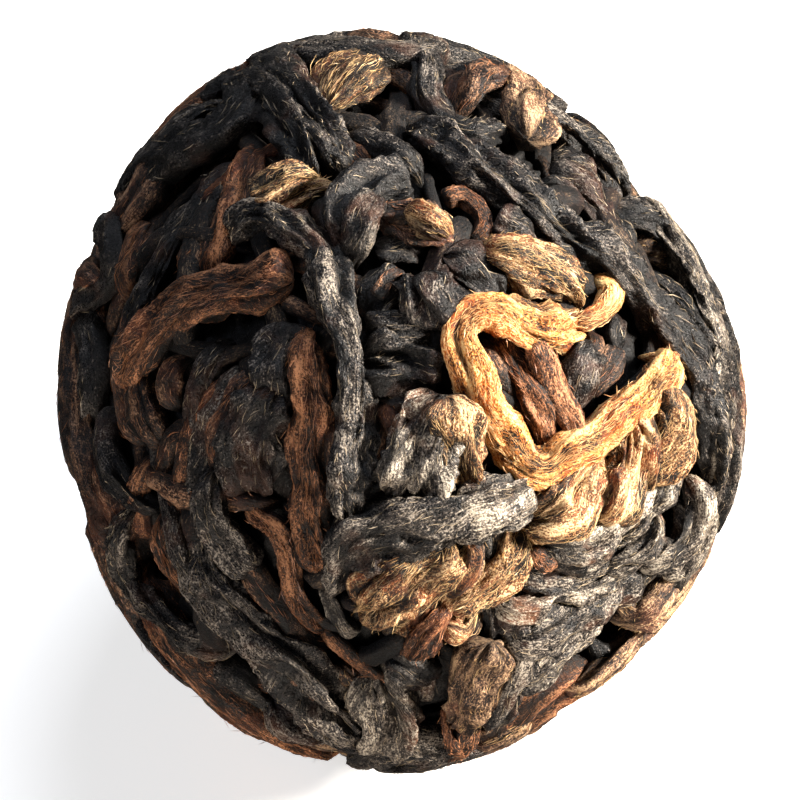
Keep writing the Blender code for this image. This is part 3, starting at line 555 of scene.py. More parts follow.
# The relief of a leaf in millimetres: bulk makes it uneven; rolls are the sharp grooves where a
# rolled leaf overlaps itself; folds, wrinkles and crimps are creases, each finer than the last
leafRelief = {
    "dark": {"bulk": 0.12, "roll": 0.13, "fold": 0.24, "wrinkle": 0.14, "crimp": 0.07},
    "charcoal": {"bulk": 0.12, "roll": 0.18, "fold": 0.20, "wrinkle": 0.12, "crimp": 0.06},
    "ash": {"bulk": 0.20, "roll": 0.18, "fold": 0.24, "wrinkle": 0.14, "crimp": 0.07},
    "brown": {"bulk": 0.18, "roll": 0.16, "fold": 0.20, "wrinkle": 0.12, "crimp": 0.06},
    "buried": {"bulk": 0.16, "roll": 0.14, "fold": 0.18, "wrinkle": 0.12, "crimp": 0.06},
    "tan": {"bulk": 0.16, "roll": 0.10, "fold": 0.14, "wrinkle": 0.08, "crimp": 0.05},
    "umber": {"bulk": 0.09, "roll": 0.16, "fold": 0.18, "wrinkle": 0.10, "crimp": 0.04},
    "straw": {"bulk": 0.18, "roll": 0.20, "fold": 0.22, "wrinkle": 0.11, "crimp": 0.04},
    "gold": {"bulk": 0.12, "roll": 0.20, "fold": 0.14, "wrinkle": 0.07, "crimp": 0.03},
    "rust": {"bulk": 0.08, "roll": 0.10, "fold": 0.14, "wrinkle": 0.09, "crimp": 0.04},
}
# The section of a rolled leaf and of one folded flat: its width against the listed one, the powers
# of the cosine and sine that draw its oval (below one it grows square), and how deep it is pleated
leafSection = {
    "r": {"wider": 1.06, "across": 0.86, "up": 0.88, "pleats": 1.0},
    "f": {"wider": 1.22, "across": 0.72, "up": 1.1, "pleats": 1.5},
}
leafMesh = {
    "seed": 5,
    "alongStep": 0.11,
    "around": 38,
    "fewest": 10,  # rings or columns
    "slimColumns": (0.5, 0.4),  # the share of the columns that the slimmest has, and more a millimetre
    "outerFiner": 0.45,  # how much closer its columns stand on the outside, and its rings at the ends
    "endFiner": 0.7,
    # waves a millimetre round the leaf, the length of one along it in millimetres, and a seed
    "bulk": (0.8, 1.3, 11),
    "roll": (1.4, 5.0, 12),
    "rollStray": (1.6, 2.6, 13),
    "grooveFade": (0.7, 1.6, 14),
    "fold": (1.6, 2.6, 15),
    "wrinkle": (3.0, 1.1, 16),
    "crimp": (5.0, 0.45, 17),
    "tear": (2.0, 1.0, 18),
    "crumple": (1.5, 0.055, 19),  # waves a millimetre in any direction, their height, and a seed
    # the level of a crest and how steeply it falls away from it
    "creaseCrest": (0.55, 2.0),
    "crumpleCrest": (0.5, 2.2),
    "rollWidth": 0.15,  # of a groove, as a share of the noise's height
    "strayShare": 0.3,  # how far the grooves stray from straight
    "grooveShown": (1.1, 1.8),  # how much of the grooves shows, and how far noise moves that
    "fullRelief": 0.6,  # half the width of a leaf that has its relief in full
    "reliefShares": (0.3, 1.2),
    "endRelief": 1.3,  # how soon it fades where an end closes
    "ridgeReach": (0.3, 0.02),  # the relief between hollow and ridge, by the leaf's size and at least
    "twists": (0.06, 0.32),  # radians a millimetre
    "lumps": 0.08,  # against the leaf's width
    "lumpLength": 2.4,
    "wander": 0.1,
    "wanderUp": 0.4,  # against its wander aside
    "wanderLength": 1.3,
    "lineSeeds": (1, 2, 3),
    "apart": (3.7, 9.7),  # how far apart leaves are in the noise, by their line and by their surface
    "mapApart": (3.7, 1.3),  # and in the pattern, round and along, and after how many it starts again
    "mapRows": (50, 7),
    "torn": 0.8,  # how unevenly a blunt end is torn
    "bluntReach": 0.35,  # how soon an end closes, against the leaf's width
    "slimReach": 0.8,
    "leastOpen": 0.0004,  # keeps the last ring from being a point
    "skirt": 0.14,  # how much wider a leaf is where it meets the leaves beneath
    "pressMiddle": 0.5,  # how proud a surface may stand, facing the eye and at the rim
    "pressRim": 0.35,
    "pressRoom": 0.3,
    "flatSoftness": 0.15,
    "coarse": 0.7,  # a leaf less finely meshed than this lies deep and has less down
    "coarseHairy": 0.45,
}


# Presses the pearl's surface: what stands too proud is squeezed (a tanh of what is over), and the
# underside is flat with a soft edge
def pressed(points):
    radius = np.linalg.norm(points, axis=-1)
    direction = points / radius[..., None]
    facing = np.clip(direction @ viewAxes()[2], 0.0, 1.0)
    proud = leafMesh["pressRim"] + (leafMesh["pressMiddle"] - leafMesh["pressRim"]) * facing
    room = leafMesh["pressRoom"]
    start = outlineRadius(direction) + proud - room
    over = np.maximum(radius - start, 0.0)
    points = direction * (np.minimum(radius, start) + room * np.tanh(over / room))[..., None]
    soft = leafMesh["flatSoftness"]
    above = points[..., 2] - flatHeight
    points[..., 2] = flatHeight + np.where(above < soft, soft * np.exp((above - soft) / soft), above)
    return points


# How open each ring is, from one to nearly nil where the leaf ends (a quarter circle), and how near
# it is to a torn end; a torn end closes sooner, and by noise here sooner than there
def closedEnds(ends, along, length, widest, tear):
    closing = np.ones(tear.shape)
    cut = np.zeros(tear.shape)
    for end, gone in zip(ends, (along, length - along)):
        gone = gone[:, None]
        reach = widest * leafMesh["slimReach"]
        if end == "b":
            reach = widest * leafMesh["bluntReach"]
            cut = np.maximum(cut, np.clip(1.0 - gone / reach, 0.0, 1.0))
            gone = np.maximum(gone * (1.0 + leafMesh["torn"] * tear), 0.0)
        shut = np.clip(1.0 - gone / reach, 0.0, 1.0)
        closing = closing * np.sqrt(np.clip(1.0 - shut**2, leafMesh["leastOpen"], 1.0))
    return closing, cut


# A rolled or folded leaf: an oval or a rounded oblong carried along the middle line, wider at
# its foot, with relief from noise that turns round the leaf and is drawn out along it, and
# closed at both ends, tapering or torn off
def leafSurface(leaf, index, rng):
    form = leafMesh
    relief = leafRelief[leaf["kind"]]
    section = leafSection[leaf["ends"][2]]
    line = leaf["line"]
    length = np.linalg.norm(np.diff(line, axis=0), axis=1).sum()
    slimmest, growth = form["slimColumns"]
    size = min(1.0, slimmest + growth * leaf["widths"].max())
    rings = max(form["fewest"], int(length / form["alongStep"] * leaf["fine"]))
    columns = max(form["fewest"], int(form["around"] * leaf["fine"] * size))
    share = np.linspace(0.0, 1.0, rings)
    share = share - form["endFiner"] / (2.0 * math.pi) * np.sin(2.0 * math.pi * share)
    wanted = share * (len(line) - 1)
    middle = throughPoints(line, wanted)
    along = share * length
    tangent = unit(np.gradient(middle, axis=0))
    side = unit(np.cross(tangent, unit(middle)))
    lift = np.cross(side, tangent)
    lineApart, surfaceApart = form["apart"]

    # noise along the middle line alone
    def alongNoise(stretch, seed):
        place = np.stack([along / stretch, np.full(rings, index * lineApart), np.zeros(rings)], axis=-1)
        return latticeNoise(place, seed)

    asideSeed, upSeed, lumpSeed = form["lineSeeds"]
    aside = form["wander"] * alongNoise(form["wanderLength"], asideSeed)
    up = form["wanderUp"] * form["wander"] * alongNoise(form["wanderLength"], upSeed)
    middle = middle + side * aside[:, None]
    middle = middle + lift * up[:, None]
    widths = np.interp(wanted, np.arange(len(line)), leaf["widths"])
    half = widths * 0.5 * (1.0 + form["lumps"] * alongNoise(form["lumpLength"], lumpSeed))
    step = 2.0 * math.pi * np.arange(columns) / columns - math.pi
    angle = 0.5 * math.pi + step - form["outerFiner"] * np.sin(step)
    cosine = np.cos(angle)[None, :]
    sine = np.sin(angle)[None, :]
    outward = side[:, None, :] * cosine[..., None] + lift[:, None, :] * sine[..., None]
    twist = rng.uniform(*form["twists"]) * rng.choice([-1.0, 1.0])
    turned = angle[None, :] - twist * along[:, None]
    ringPlace = np.stack([np.cos(turned), np.sin(turned)], axis=-1) * half[:, None, None]
    alongPlace = np.broadcast_to(along[:, None], turned.shape)

    # noise that turns round the leaf and is drawn out along it
    def drawnOut(name):
        waves, stretch, seed = form[name]
        lengthwise = (alongPlace / stretch + surfaceApart * index)[..., None]
        return latticeNoise(np.concatenate([ringPlace * waves, lengthwise], axis=-1), seed)

    # crests where noise is nil, with hollows between them
    def crested(noise, crest):
        level, steepness = crest
        return level - steepness * np.abs(noise)

    closing, cut = closedEnds(leaf["ends"][:2], along, length, widths.max(), drawnOut("tear"))
    rolls = drawnOut("roll") + form["strayShare"] * drawnOut("rollStray")
    shown, moved = form["grooveShown"]
    shownGrooves = np.clip(shown + moved * drawnOut("grooveFade"), 0.0, 1.0)
    grooves = np.exp(-((rolls / form["rollWidth"]) ** 2)) * shownGrooves
    raised = relief["bulk"] * drawnOut("bulk") + relief["roll"] * section["pleats"] * (rolls - grooves)
    for crease, pleats in (("fold", section["pleats"]), ("wrinkle", section["pleats"]), ("crimp", 1.0)):
        raised = raised + relief[crease] * pleats * crested(drawnOut(crease), form["creaseCrest"])
    waves, crumpleHeight, crumpleSeed = form["crumple"]
    crumples = latticeNoise((middle[:, None, :] + outward * half[:, None, None]) * waves, crumpleSeed)
    raised = raised + crumpleHeight * crested(crumples, form["crumpleCrest"])
    reach = np.clip(half / form["fullRelief"], *form["reliefShares"])[:, None] * leaf["fine"] ** 0.5
    raised = raised * reach * np.clip(closing * form["endRelief"], 0.0, 1.0)

    across = np.sign(cosine) * np.abs(cosine) ** section["across"]
    across = across * (1.0 + form["skirt"] * np.clip(-sine, 0.0, 1.0))
    upward = np.sign(sine) * np.abs(sine) ** section["up"]
    oval = half[:, None] * closing
    points = pressed(
        middle[:, None, :]
        + side[:, None, :] * (across * oval * section["wider"])[..., None]
        + lift[:, None, :] * (upward * oval * layRule["flatness"])[..., None]
        + outward * raised[..., None]
    )
    bySize, atLeast = form["ridgeReach"]
    mapShifts = [gap * (index % rows) for gap, rows in zip(form["mapApart"], form["mapRows"])]
    return {
        "points": points,
        "outward": outward,
        "around": angle[None, :] * half[:, None] * section["wider"] + mapShifts[0],
        "along": alongPlace + mapShifts[1],
        # depth below the outline, which the finish turns into painted shade in the gaps
        "depth": outlineRadius(unit(points)) - np.linalg.norm(points, axis=-1),
        # the grooves of the rolls: real relief, and also painted dark as shade by the finish
        "groove": grooves,
        "ridge": np.clip(0.5 + raised / (bySize * reach + atLeast), 0.0, 1.0),
        "cut": cut,
        "tone": rng.uniform(),
        "kind": leaf["kind"],
        "length": length,
        "width": widths.max() * section["wider"],
        "hairy": 1.0 if leaf["fine"] > form["coarse"] else form["coarseHairy"],
    }


# Triangles of a tube of rings, closed round and by a fan at each end, facing out
def tubeTriangles(rings, columns):
    ring = np.arange(rings - 1)[:, None] * columns
    column = np.arange(columns)[None, :]
    beside = (column + 1) % columns
    first = ring + column
    second = ring + columns + column
    third = ring + columns + beside
    fourth = ring + beside
    column = column[0]
    beside = beside[0]
    startPole = np.full(columns, rings * columns)
    last = (rings - 1) * columns
    corners = (
        (first, second, third),
        (first, third, fourth),
        (startPole, column, beside),
        (startPole + 1, last + beside, last + column),
    )
    return np.concatenate([np.stack(three, axis=-1).reshape(-1, 3) for three in corners])


# The values that the finish reads, beside a UV map in millimetres
leafValues = ("depth", "groove", "ridge", "cut", "tone")


# One mesh of many tubes: points with the two poles last, triangles, map places and values
def joinedTubes(surfaces):
    points = []
    faces = []
    places = []
    values = {name: [] for name in leafValues}
    start = 0
    for surface in surfaces:
        rings, columns, _ = surface["points"].shape
        poles = surface["points"][[0, -1]].mean(axis=1)
        points.append(np.concatenate([surface["points"].reshape(-1, 3), poles]))
        faces.append(tubeTriangles(rings, columns) + start)
        place = np.stack([surface["around"], surface["along"]], axis=-1).reshape(-1, 2)
        places.append(np.concatenate([place, place[[0, -1]]]))
        for name in leafValues:
            value = np.broadcast_to(surface[name], (rings, columns)).reshape(-1)
            values[name].append(np.concatenate([value, value[[0, -1]]]))
        start += rings * columns + 2
    joined = {name: np.concatenate(value) for name, value in values.items()}
    return np.concatenate(points), np.concatenate(faces), np.concatenate(places), joined


# Puts arrays into a mesh and its object; the piece rides on the pearl and stands for the solid
def addPiece(name, points, faces, material, places, values, smooth=True):
    mesh = bpy.data.meshes.new(name)
    mesh.vertices.add(len(points))
    lifted = (points - np.array([0.0, 0.0, flatHeight])) * millimetre
    mesh.vertices.foreach_set("co", lifted.astype(np.float32).ravel())
    mesh.loops.add(faces.size)
    mesh.loops.foreach_set("vertex_index", faces.astype(np.int32).ravel())
    mesh.polygons.add(len(faces))
    mesh.polygons.foreach_set("loop_start", np.arange(len(faces), dtype=np.int32) * 3)
    mesh.update(calc_edges=True)
    mesh.polygons.foreach_set("use_smooth", np.full(len(faces), smooth))
    if places is not None:
        layer = mesh.uv_layers.new(name="leafMap")
        layer.uv.foreach_set("vector", places[faces.ravel()].astype(np.float32).ravel())
    for valueName, value in values.items():
        attribute = mesh.attributes.new(valueName, "FLOAT", "POINT")
        attribute.data.foreach_set("value", value.astype(np.float32))
    mesh.materials.append(material)
    piece = bpy.data.objects.new(name, mesh)
    bpy.context.scene.collection.objects.link(piece)
    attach(piece, "root")
    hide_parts(pearlNode)
    print("made", name, "with", len(faces), "triangles")


# sRGB hex to the linear colour that the shader wants
def linear(hexColour):
    parts = np.array([int(hexColour[at:at + 2], 16) for at in (1, 3, 5)]) / 255.0
    light = np.where(parts <= 0.04045, parts / 12.92, ((parts + 0.055) / 1.055) ** 2.4)
    return (*light.tolist(), 1.0)


# Adds a node: a setting is linked if it is another node's output, and goes to the node's input or
# to its own field if not
def addNode(tree, kind, settings):
    node = tree.nodes.new(kind)
    for name, value in settings.items():
        if isinstance(value, bpy.types.NodeSocket):
            tree.links.new(value, node.inputs[name])
        elif isinstance(name, int) or name in node.inputs:
            node.inputs[name].default_value = value
        else:
            setattr(node, name, value)
    return node


# An empty material and its node tree
def newMaterial(name):
    material = bpy.data.materials.new(name)
    material.use_nodes = True
    material.node_tree.nodes.clear()
    return material, material.node_tree


# The looks of each kind of leaf, from its creases to its down: the darkest (black of the pattern,
# also used as painted shade in grooves and gaps), skin, worn and fleck, with rust in patches;
# flecked is how far the paler of them spread, hairy how thick fine hair lies, and down how many
# hairs stand on a square millimetre
leafLooks = {
    "dark": {  # fermented through and rolled: near black with few scuffs
        "name": "fermentedDarkLeaf", "piece": "darkLeaves",
        "blackAndShade": "#010101", "skin": "#0c0908", "worn": "#25211f", "rust": "#3a2216", "fleck": "#867c72",
        "striped": 0.2, "flecked": 0.22, "rusted": 0.34, "hairy": 0.35, "roughness": 0.30,
        "down": 9.0, "downLooks": "pale",
    },
    "buried": {  # scraps in the gaps: black with dull brown
        "name": "fermentedScrapLeaf", "piece": "buriedLeaves",
        "blackAndShade": "#010101", "skin": "#0c0908", "worn": "#32261f", "rust": "#33201a", "fleck": "#7c6852",
        "striped": 0.2, "flecked": 0.30, "rusted": 0.35, "hairy": 0.3, "roughness": 0.5,
        "down": 2.0, "downLooks": "pale",
    },
    "charcoal": {  # fermented and rubbed by rolling: black with grey-brown ridges
        "name": "fermentedCharcoalLeaf", "piece": "charcoalLeaves",
        "blackAndShade": "#020202", "skin": "#0f0d0b", "worn": "#3d3632", "rust": "#472c1e", "fleck": "#9c9183",
        "striped": 0.3, "flecked": 0.38, "rusted": 0.36, "hairy": 0.55, "roughness": 0.30,
        "down": 9.0, "downLooks": "pale",
    },
    # partly painted sheen: a paler, greyer copy of the charcoal leaf whose grey stands in part for the
    # sheen of dark leaves, in part for pale scuffs
    "ash": {  # pressed and rubbed dry: grey with pale scuffs
        "name": "ashLeafAndPaintedSheen", "piece": "ashLeaves",
        "blackAndShade": "#040303", "skin": "#2f2822", "worn": "#6a6057", "rust": "#6b4630", "fleck": "#c2b6a3",
        "striped": 0.35, "flecked": 0.52, "rusted": 0.35, "hairy": 0.55, "roughness": 0.36,
        "down": 12.0, "downLooks": "pale",
    },
    "brown": {  # fermented less: warm brown ridges over black
        "name": "fermentedBrownLeaf", "piece": "brownLeaves",
        "blackAndShade": "#040302", "skin": "#1b120e", "worn": "#523829", "rust": "#522e1f", "fleck": "#ac8465",
        "striped": 0.45, "flecked": 0.4, "rusted": 0.45, "hairy": 0.55, "roughness": 0.38,
        "down": 14.0, "downLooks": "umber",
    },
    "tan": {  # an outer leaf pressed dry: dull tan with little shine
        "name": "pressedTanLeaf", "piece": "tanLeaves",
        "blackAndShade": "#0c0806", "skin": "#3d2a20", "worn": "#81634c", "rust": "#664031", "fleck": "#c9a680",
        "striped": 0.5, "flecked": 0.48, "rusted": 0.4, "hairy": 0.5, "roughness": 0.5,
        "down": 12.0, "downLooks": "straw",
    },
    "umber": {  # an older bud: red-brown hair over dark skin
        "name": "downyUmberBud", "piece": "umberBuds",
        "blackAndShade": "#080503", "skin": "#25170f", "worn": "#653f29", "rust": "#65351f", "fleck": "#be855d",
        "striped": 0.6, "flecked": 0.40, "rusted": 0.4, "hairy": 0.7, "roughness": 0.42,
        "down": 36.0, "downLooks": "umber",
    },
    "straw": {  # a bud with thick straw-coloured hair, brown skin between
        "name": "downyStrawBud", "piece": "strawBuds",
        "blackAndShade": "#070403", "skin": "#38271b", "worn": "#80502c", "rust": "#84401c", "fleck": "#e4c090",
        "striped": 0.7, "flecked": 0.46, "rusted": 0.42, "hairy": 0.9, "roughness": 0.46,
        "down": 50.0, "downLooks": "straw",
    },
    "gold": {  # a young bud: golden hair all but hides its skin
        "name": "downyGoldenBud", "piece": "goldenBuds",
        "blackAndShade": "#140905", "skin": "#733e1b", "worn": "#dd8b36", "rust": "#b5581c", "fleck": "#f8cf8e",
        "striped": 0.7, "flecked": 0.78, "rusted": 0.7, "hairy": 0.9, "roughness": 0.44,
        "down": 70.0, "downLooks": "gold",
    },
    "rust": {  # a thin stalk: dry and red-brown
        "name": "rustyStalk", "piece": "rustyStalks",
        "blackAndShade": "#0d0604", "skin": "#351e14", "worn": "#70472d", "rust": "#6a3b20", "fleck": "#a98259",
        "striped": 0.5, "flecked": 0.45, "rusted": 0.5, "hairy": 0.7, "roughness": 0.5,
        "down": 12.0, "downLooks": "umber",
    },
}
# Noise on the leaf's own map: grains so wide and so long in millimetres, where it starts, its detail,
# and the turn off the leaf's length in radians. The fibres and hairs of the real leaf are finer than
# the render can show, so they are drawn about twice as coarse.
leafStrokes = {
    "fibre": (0.04, 0.22, 0.0, 2.0, 0.0),
    "strand": (0.12, 1.0, 3.1, 2.0, 0.0),
    "stripe": (0.55, 5.0, 11.7, 2.0, 0.0),
    "hair": (0.1, 0.5, 5.3, 1.0, 0.6),
    "crossHair": (0.1, 0.5, 8.9, 1.0, -0.6),
}
# Noise in the round: its grains' size in millimetres, detail and distortion
leafGrains = {
    "patch": (2.2, 3.0, 0.3),
    "smallPatch": (0.7, 2.0, 0.3),
    "grit": (0.07, 3.0, 0.0),
}
# How the noise becomes colour, roughness and relief
leafPattern = {
    # the parts of the blend that decides on the colour, and the level that it is measured from
    "parts": (("fibre", 0.40), ("strand", 0.12), ("grit", 0.62)),
    "ridgeShare": 0.05,
    "patchShare": 0.28,
    "toneShare": 0.03,
    "level": 0.25,
    "stripeLevel": 0.5,
    "fleckReach": 0.12,
    "middleFlecked": 0.4,
    # from where to where in the blend a colour is laid over the last, and its least and most share
    "toSkin": (0.41, 0.47, 0.0, 1.0),
    "toWorn": (0.48, 0.55, 0.0, 1.0),
    "toFleck": (0.57, 0.64, 0.0, 1.0),
    "toHair": (0.0, 1.0, 0.0, 1.0),
    "toCut": (0.0, 1.0, 0.0, 0.5),
    # painted shade: the grooves where a rolled leaf overlaps itself are painted towards black
    "toPaintedGrooveShade": (0.0, 1.0, 0.0, 0.85),
    # painted shade: the deeper a surface lies below the outline, in the gaps and on the core, the nearer
    # black it is painted
    "toPaintedGapShade": (0.3, 1.4, 0.0, 0.8),  # by the depth in millimetres
    # patches of rust and of hair: where they end, how far they spread, their soft edge and their most
    "rustPatch": (0.64, 0.26, 0.12, 0.8),
    "hairPatch": (0.62, 0.3, 0.2, 0.85),
    "rustShades": (0.38, 0.6, 0.4, 1.6),
    "hairThickness": 0.028,
    "hairBreaks": (0.4, 0.6, 0.3, 1.0),  # how the fibres thin the hairs out
    "gritRange": (0.35, 0.65),
    "roughnessRange": (-0.12, 0.25),
    "gapRoughness": (0.3, 1.4, 0.0, 0.16),
    "fibreRelief": 0.04,  # millimetres
    "gritRelief": 0.05,
    "fibreHeight": 0.6,
    "hairHeight": 0.4,
}
rangeEnds = ("From Min", "From Max", "To Min", "To Max")  # what the ranges above set, in order


# Adds values up by their weights
def weightedSum(tree, terms):
    total = 0.0
    for source, weight in terms:
        settings = {"operation": "MULTIPLY_ADD", 0: source, 1: weight, 2: total}
        total = addNode(tree, "ShaderNodeMath", settings).outputs["Value"]
    return total


# Lays colours over a ground, each by how far its source has gone through a range
def layered(tree, ground, layers):
    colour = ground
    for source, limits, over in layers:
        share = addNode(tree, "ShaderNodeMapRange", {"Value": source, **dict(zip(rangeEnds, limits))})
        settings = {"data_type": "RGBA", 0: share.outputs["Result"], 6: colour, 7: over}
        colour = addNode(tree, "ShaderNodeMix", settings).outputs[2]
    return colour


# The range in which patches of a noise begin, lower the further they spread
def patchRange(patch, spread):
    end, lowering, edge, most = patch
    start = end - lowering * spread
    return (start, start + edge, 0.0, most)


# All noise of the pattern: strokes on the leaf's own map, grains in the round
def leafNoise(tree):
    place = addNode(tree, "ShaderNodeUVMap", {"uv_map": "leafMap"}).outputs["UV"]
    solidPlace = addNode(tree, "ShaderNodeTexCoord", {}).outputs["Object"]
    noise = {}
    for name, (across, along, start, detail, turn) in leafStrokes.items():
        moved = addNode(tree, "ShaderNodeMapping", {
            "vector_type": "TEXTURE", "Vector": place, "Scale": (across, along, 1.0),
            "Rotation": (0.0, 0.0, turn),
            "Location": (start, 1.7 * start, 0.0),  # any place will do that is each stroke's own
        })
        noise[name] = addNode(tree, "ShaderNodeTexNoise", {
            "noise_dimensions": "2D", "Vector": moved.outputs["Vector"], "Scale": 1.0,
            "Detail": detail, "Roughness": 0.6, "Distortion": 0.4,
        }).outputs["Fac"]
    for name, (size, detail, distortion) in leafGrains.items():
        noise[name] = addNode(tree, "ShaderNodeTexNoise", {
            "Vector": solidPlace, "Scale": 1.0 / (size * millimetre),
            "Detail": detail, "Roughness": 0.6, "Distortion": distortion,
        }).outputs["Fac"]
    return noise


# Fine hairs: thin curved lines where a drawn-out noise passes its middle, two sets of them crossing
# at a slant, thick in patches and broken up by the fibres
def leafHairs(tree, noise, hairy):
    nearest = 1.0
    for name in ("hair", "crossHair"):
        past = addNode(tree, "ShaderNodeMath", {"operation": "SUBTRACT", 0: noise[name], 1: 0.5})
        gone = addNode(tree, "ShaderNodeMath", {"operation": "ABSOLUTE", 0: past.outputs["Value"]})
        settings = {"operation": "MINIMUM", 0: gone.outputs["Value"], 1: nearest}
        nearest = addNode(tree, "ShaderNodeMath", settings).outputs["Value"]
    hair = 1.0
    for source, limits in (
        (nearest, (0.0, leafPattern["hairThickness"], 1.0, 0.0)),
        (noise["smallPatch"], patchRange(leafPattern["hairPatch"], hairy)),
        (noise["fibre"], leafPattern["hairBreaks"]),
    ):
        share = addNode(tree, "ShaderNodeMapRange", {"Value": source, **dict(zip(rangeEnds, limits))})
        settings = {"operation": "MULTIPLY", 0: share.outputs["Result"], 1: hair}
        hair = addNode(tree, "ShaderNodeMath", settings).outputs["Value"]
    return hair


# Dried leaf: a blend of fibres, strands and grit runs from black creases over dark skin to worn
# ridges and pale flecks; patches of rust lie under it and fine curved hairs over it. Painted shade
# then darkens the grooves of the rolls and what lies deep in the gaps. It is dull and waxy, so its
# IOR is low and its roughness goes with the grit.
def leafMaterial(looks):
    material, tree = newMaterial(looks["name"])
    pattern = leafPattern
    noise = leafNoise(tree)
    value = {
        name: addNode(tree, "ShaderNodeAttribute", {"attribute_name": name}).outputs["Fac"]
        for name in leafValues
    }
    height = weightedSum(tree, [(noise[name], share) for name, share in pattern["parts"]])
    paler = pattern["fleckReach"] * (looks["flecked"] - pattern["middleFlecked"])
    level = pattern["level"] + pattern["stripeLevel"] * looks["striped"] - paler
    reach = weightedSum(tree, (
        (height, 1.0), (value["ridge"], pattern["ridgeShare"]),
        (noise["smallPatch"], pattern["patchShare"]), (value["tone"], pattern["toneShare"]),
        (noise["stripe"], looks["striped"]),
    ))
    reach = addNode(tree, "ShaderNodeMath", {"operation": "SUBTRACT", 0: reach, 1: level}).outputs["Value"]

    shade = addNode(tree, "ShaderNodeMapRange", {
        "Value": reach, **dict(zip(rangeEnds, pattern["rustShades"])),
    })
    rust = addNode(tree, "ShaderNodeMix", {
        "data_type": "RGBA", "blend_type": "MULTIPLY",
        0: 1.0, 6: linear(looks["rust"]), 7: shade.outputs["Result"],
    }).outputs[2]
    hair = leafHairs(tree, noise, looks["hairy"])
    blackAndShade = linear(looks["blackAndShade"])
    colour = layered(tree, blackAndShade, (
        (reach, pattern["toSkin"], linear(looks["skin"])),
        (reach, pattern["toWorn"], linear(looks["worn"])),
        (noise["patch"], patchRange(pattern["rustPatch"], looks["rusted"]), rust),
        (reach, pattern["toFleck"], linear(looks["fleck"])),
        (hair, pattern["toHair"], linear(looks["fleck"])),
        (value["cut"], pattern["toCut"], linear(leafLooks["charcoal"]["skin"])),
        # painted shade in the grooves of the rolls
        (value["groove"], pattern["toPaintedGrooveShade"], blackAndShade),
        # painted shade: what lies deep in the gaps is painted towards black by its depth
        (value["depth"], pattern["toPaintedGapShade"], blackAndShade),
    ))

    smoother, rougher = (looks["roughness"] + change for change in pattern["roughnessRange"])
    roughness = 0.0
    for source, limits in (
        (noise["grit"], (*pattern["gritRange"], smoother, rougher)),
        (value["depth"], pattern["gapRoughness"]),
    ):
        more = addNode(tree, "ShaderNodeMapRange", {"Value": source, **dict(zip(rangeEnds, limits))})
        settings = {"operation": "ADD", 0: more.outputs["Result"], 1: roughness}
        roughness = addNode(tree, "ShaderNodeMath", settings).outputs["Value"]
    fibreBump = addNode(tree, "ShaderNodeBump", {
        "Strength": 1.0, "Distance": pattern["fibreRelief"] * millimetre,
        "Height": weightedSum(tree, (
            (noise["fibre"], pattern["fibreHeight"]), (hair, pattern["hairHeight"]),
        )),
    })
    gritBump = addNode(tree, "ShaderNodeBump", {
        "Strength": 1.0, "Distance": pattern["gritRelief"] * millimetre, "Height": noise["grit"],
        "Normal": fibreBump.outputs["Normal"],
    })
    surface = addNode(tree, "ShaderNodeBsdfPrincipled", {
        "Base Color": colour, "Roughness": roughness, "Normal": gritBump.outputs["Normal"],
        "IOR": 1.32, "Sheen Weight": 0.02, "Sheen Roughness": 0.4,
    })
    addNode(tree, "ShaderNodeOutputMaterial", {"Surface": surface.outputs["BSDF"]})
    return material


# Down: the fine hairs of buds and young leaves, from dull roots to pale tips
downLooks = {
    "gold": {"name": "goldenDown", "dull": "#a95f24", "pale": "#f6cd90"},
    "straw": {"name": "strawDown", "dull": "#6e3f1c", "pale": "#eac68c"},
    "umber": {"name": "umberDown", "dull": "#5e3220", "pale": "#be8258"},
    "pale": {"name": "paleDown", "dull": "#4e4032", "pale": "#bfab8d"},
}
downForm = {
    "seed": 19,
    "lengths": (0.14, 0.45),
    "radii": (0.007, 0.014),  # real down is about half as thick, too fine to show
    "hairyGirth": 1.5,  # the part of the girth that has down, against the leaf's width
    "girth": 2.0,
    "roundSpread": 0.2,  # how far round the leaf from its outside they stand, and at most
    "roundMost": 0.38,
    "spread": 0.32,  # radians off the leaf's length
    "tuftSpread": 0.35,
    "tuftLength": 0.8,
    "tuftsRound": 6.0,
    "brushed": 0.85,  # the share that points the leaf's way
    "bow": 0.006,  # how far a hair is bent aside, against the girth
    "lie": 0.02,  # how high its tip lies; strays stand up further
    "strays": 0.07,
    "strayLifts": (0.05, 0.3),
    "arch": 0.35,
    "rooted": 0.012,  # how deep its root is set in
    "deepest": 0.8,  # none deeper than this, nearer a torn end, or this near the flat of the base
    "nearestCut": 0.3,
    "aboveFlat": 0.4,
    "shortest": 0.08,
    "slantSeed": 31,
    "toneSeed": 41,
    "toneSize": 0.9,  # millimetres across a tuft of one tone
    "tones": (0.7, 0.55, -0.1),  # by chance, by tuft, and for all
}


# Down: a plain hair whose colour runs from dull to pale by its own tone
def downMaterial(looks):
    material, tree = newMaterial(looks["name"])
    tone = addNode(tree, "ShaderNodeAttribute", {"attribute_name": "tone"})
    colour = addNode(tree, "ShaderNodeMix", {
        "data_type": "RGBA", 0: tone.outputs["Fac"], 6: linear(looks["dull"]), 7: linear(looks["pale"]),
    })
    finish = {"Base Color": colour.outputs[2], "Roughness": 0.5, "IOR": 1.5}
    surface = addNode(tree, "ShaderNodeBsdfPrincipled", finish)
    addNode(tree, "ShaderNodeOutputMaterial", {"Surface": surface.outputs["BSDF"]})
    return material


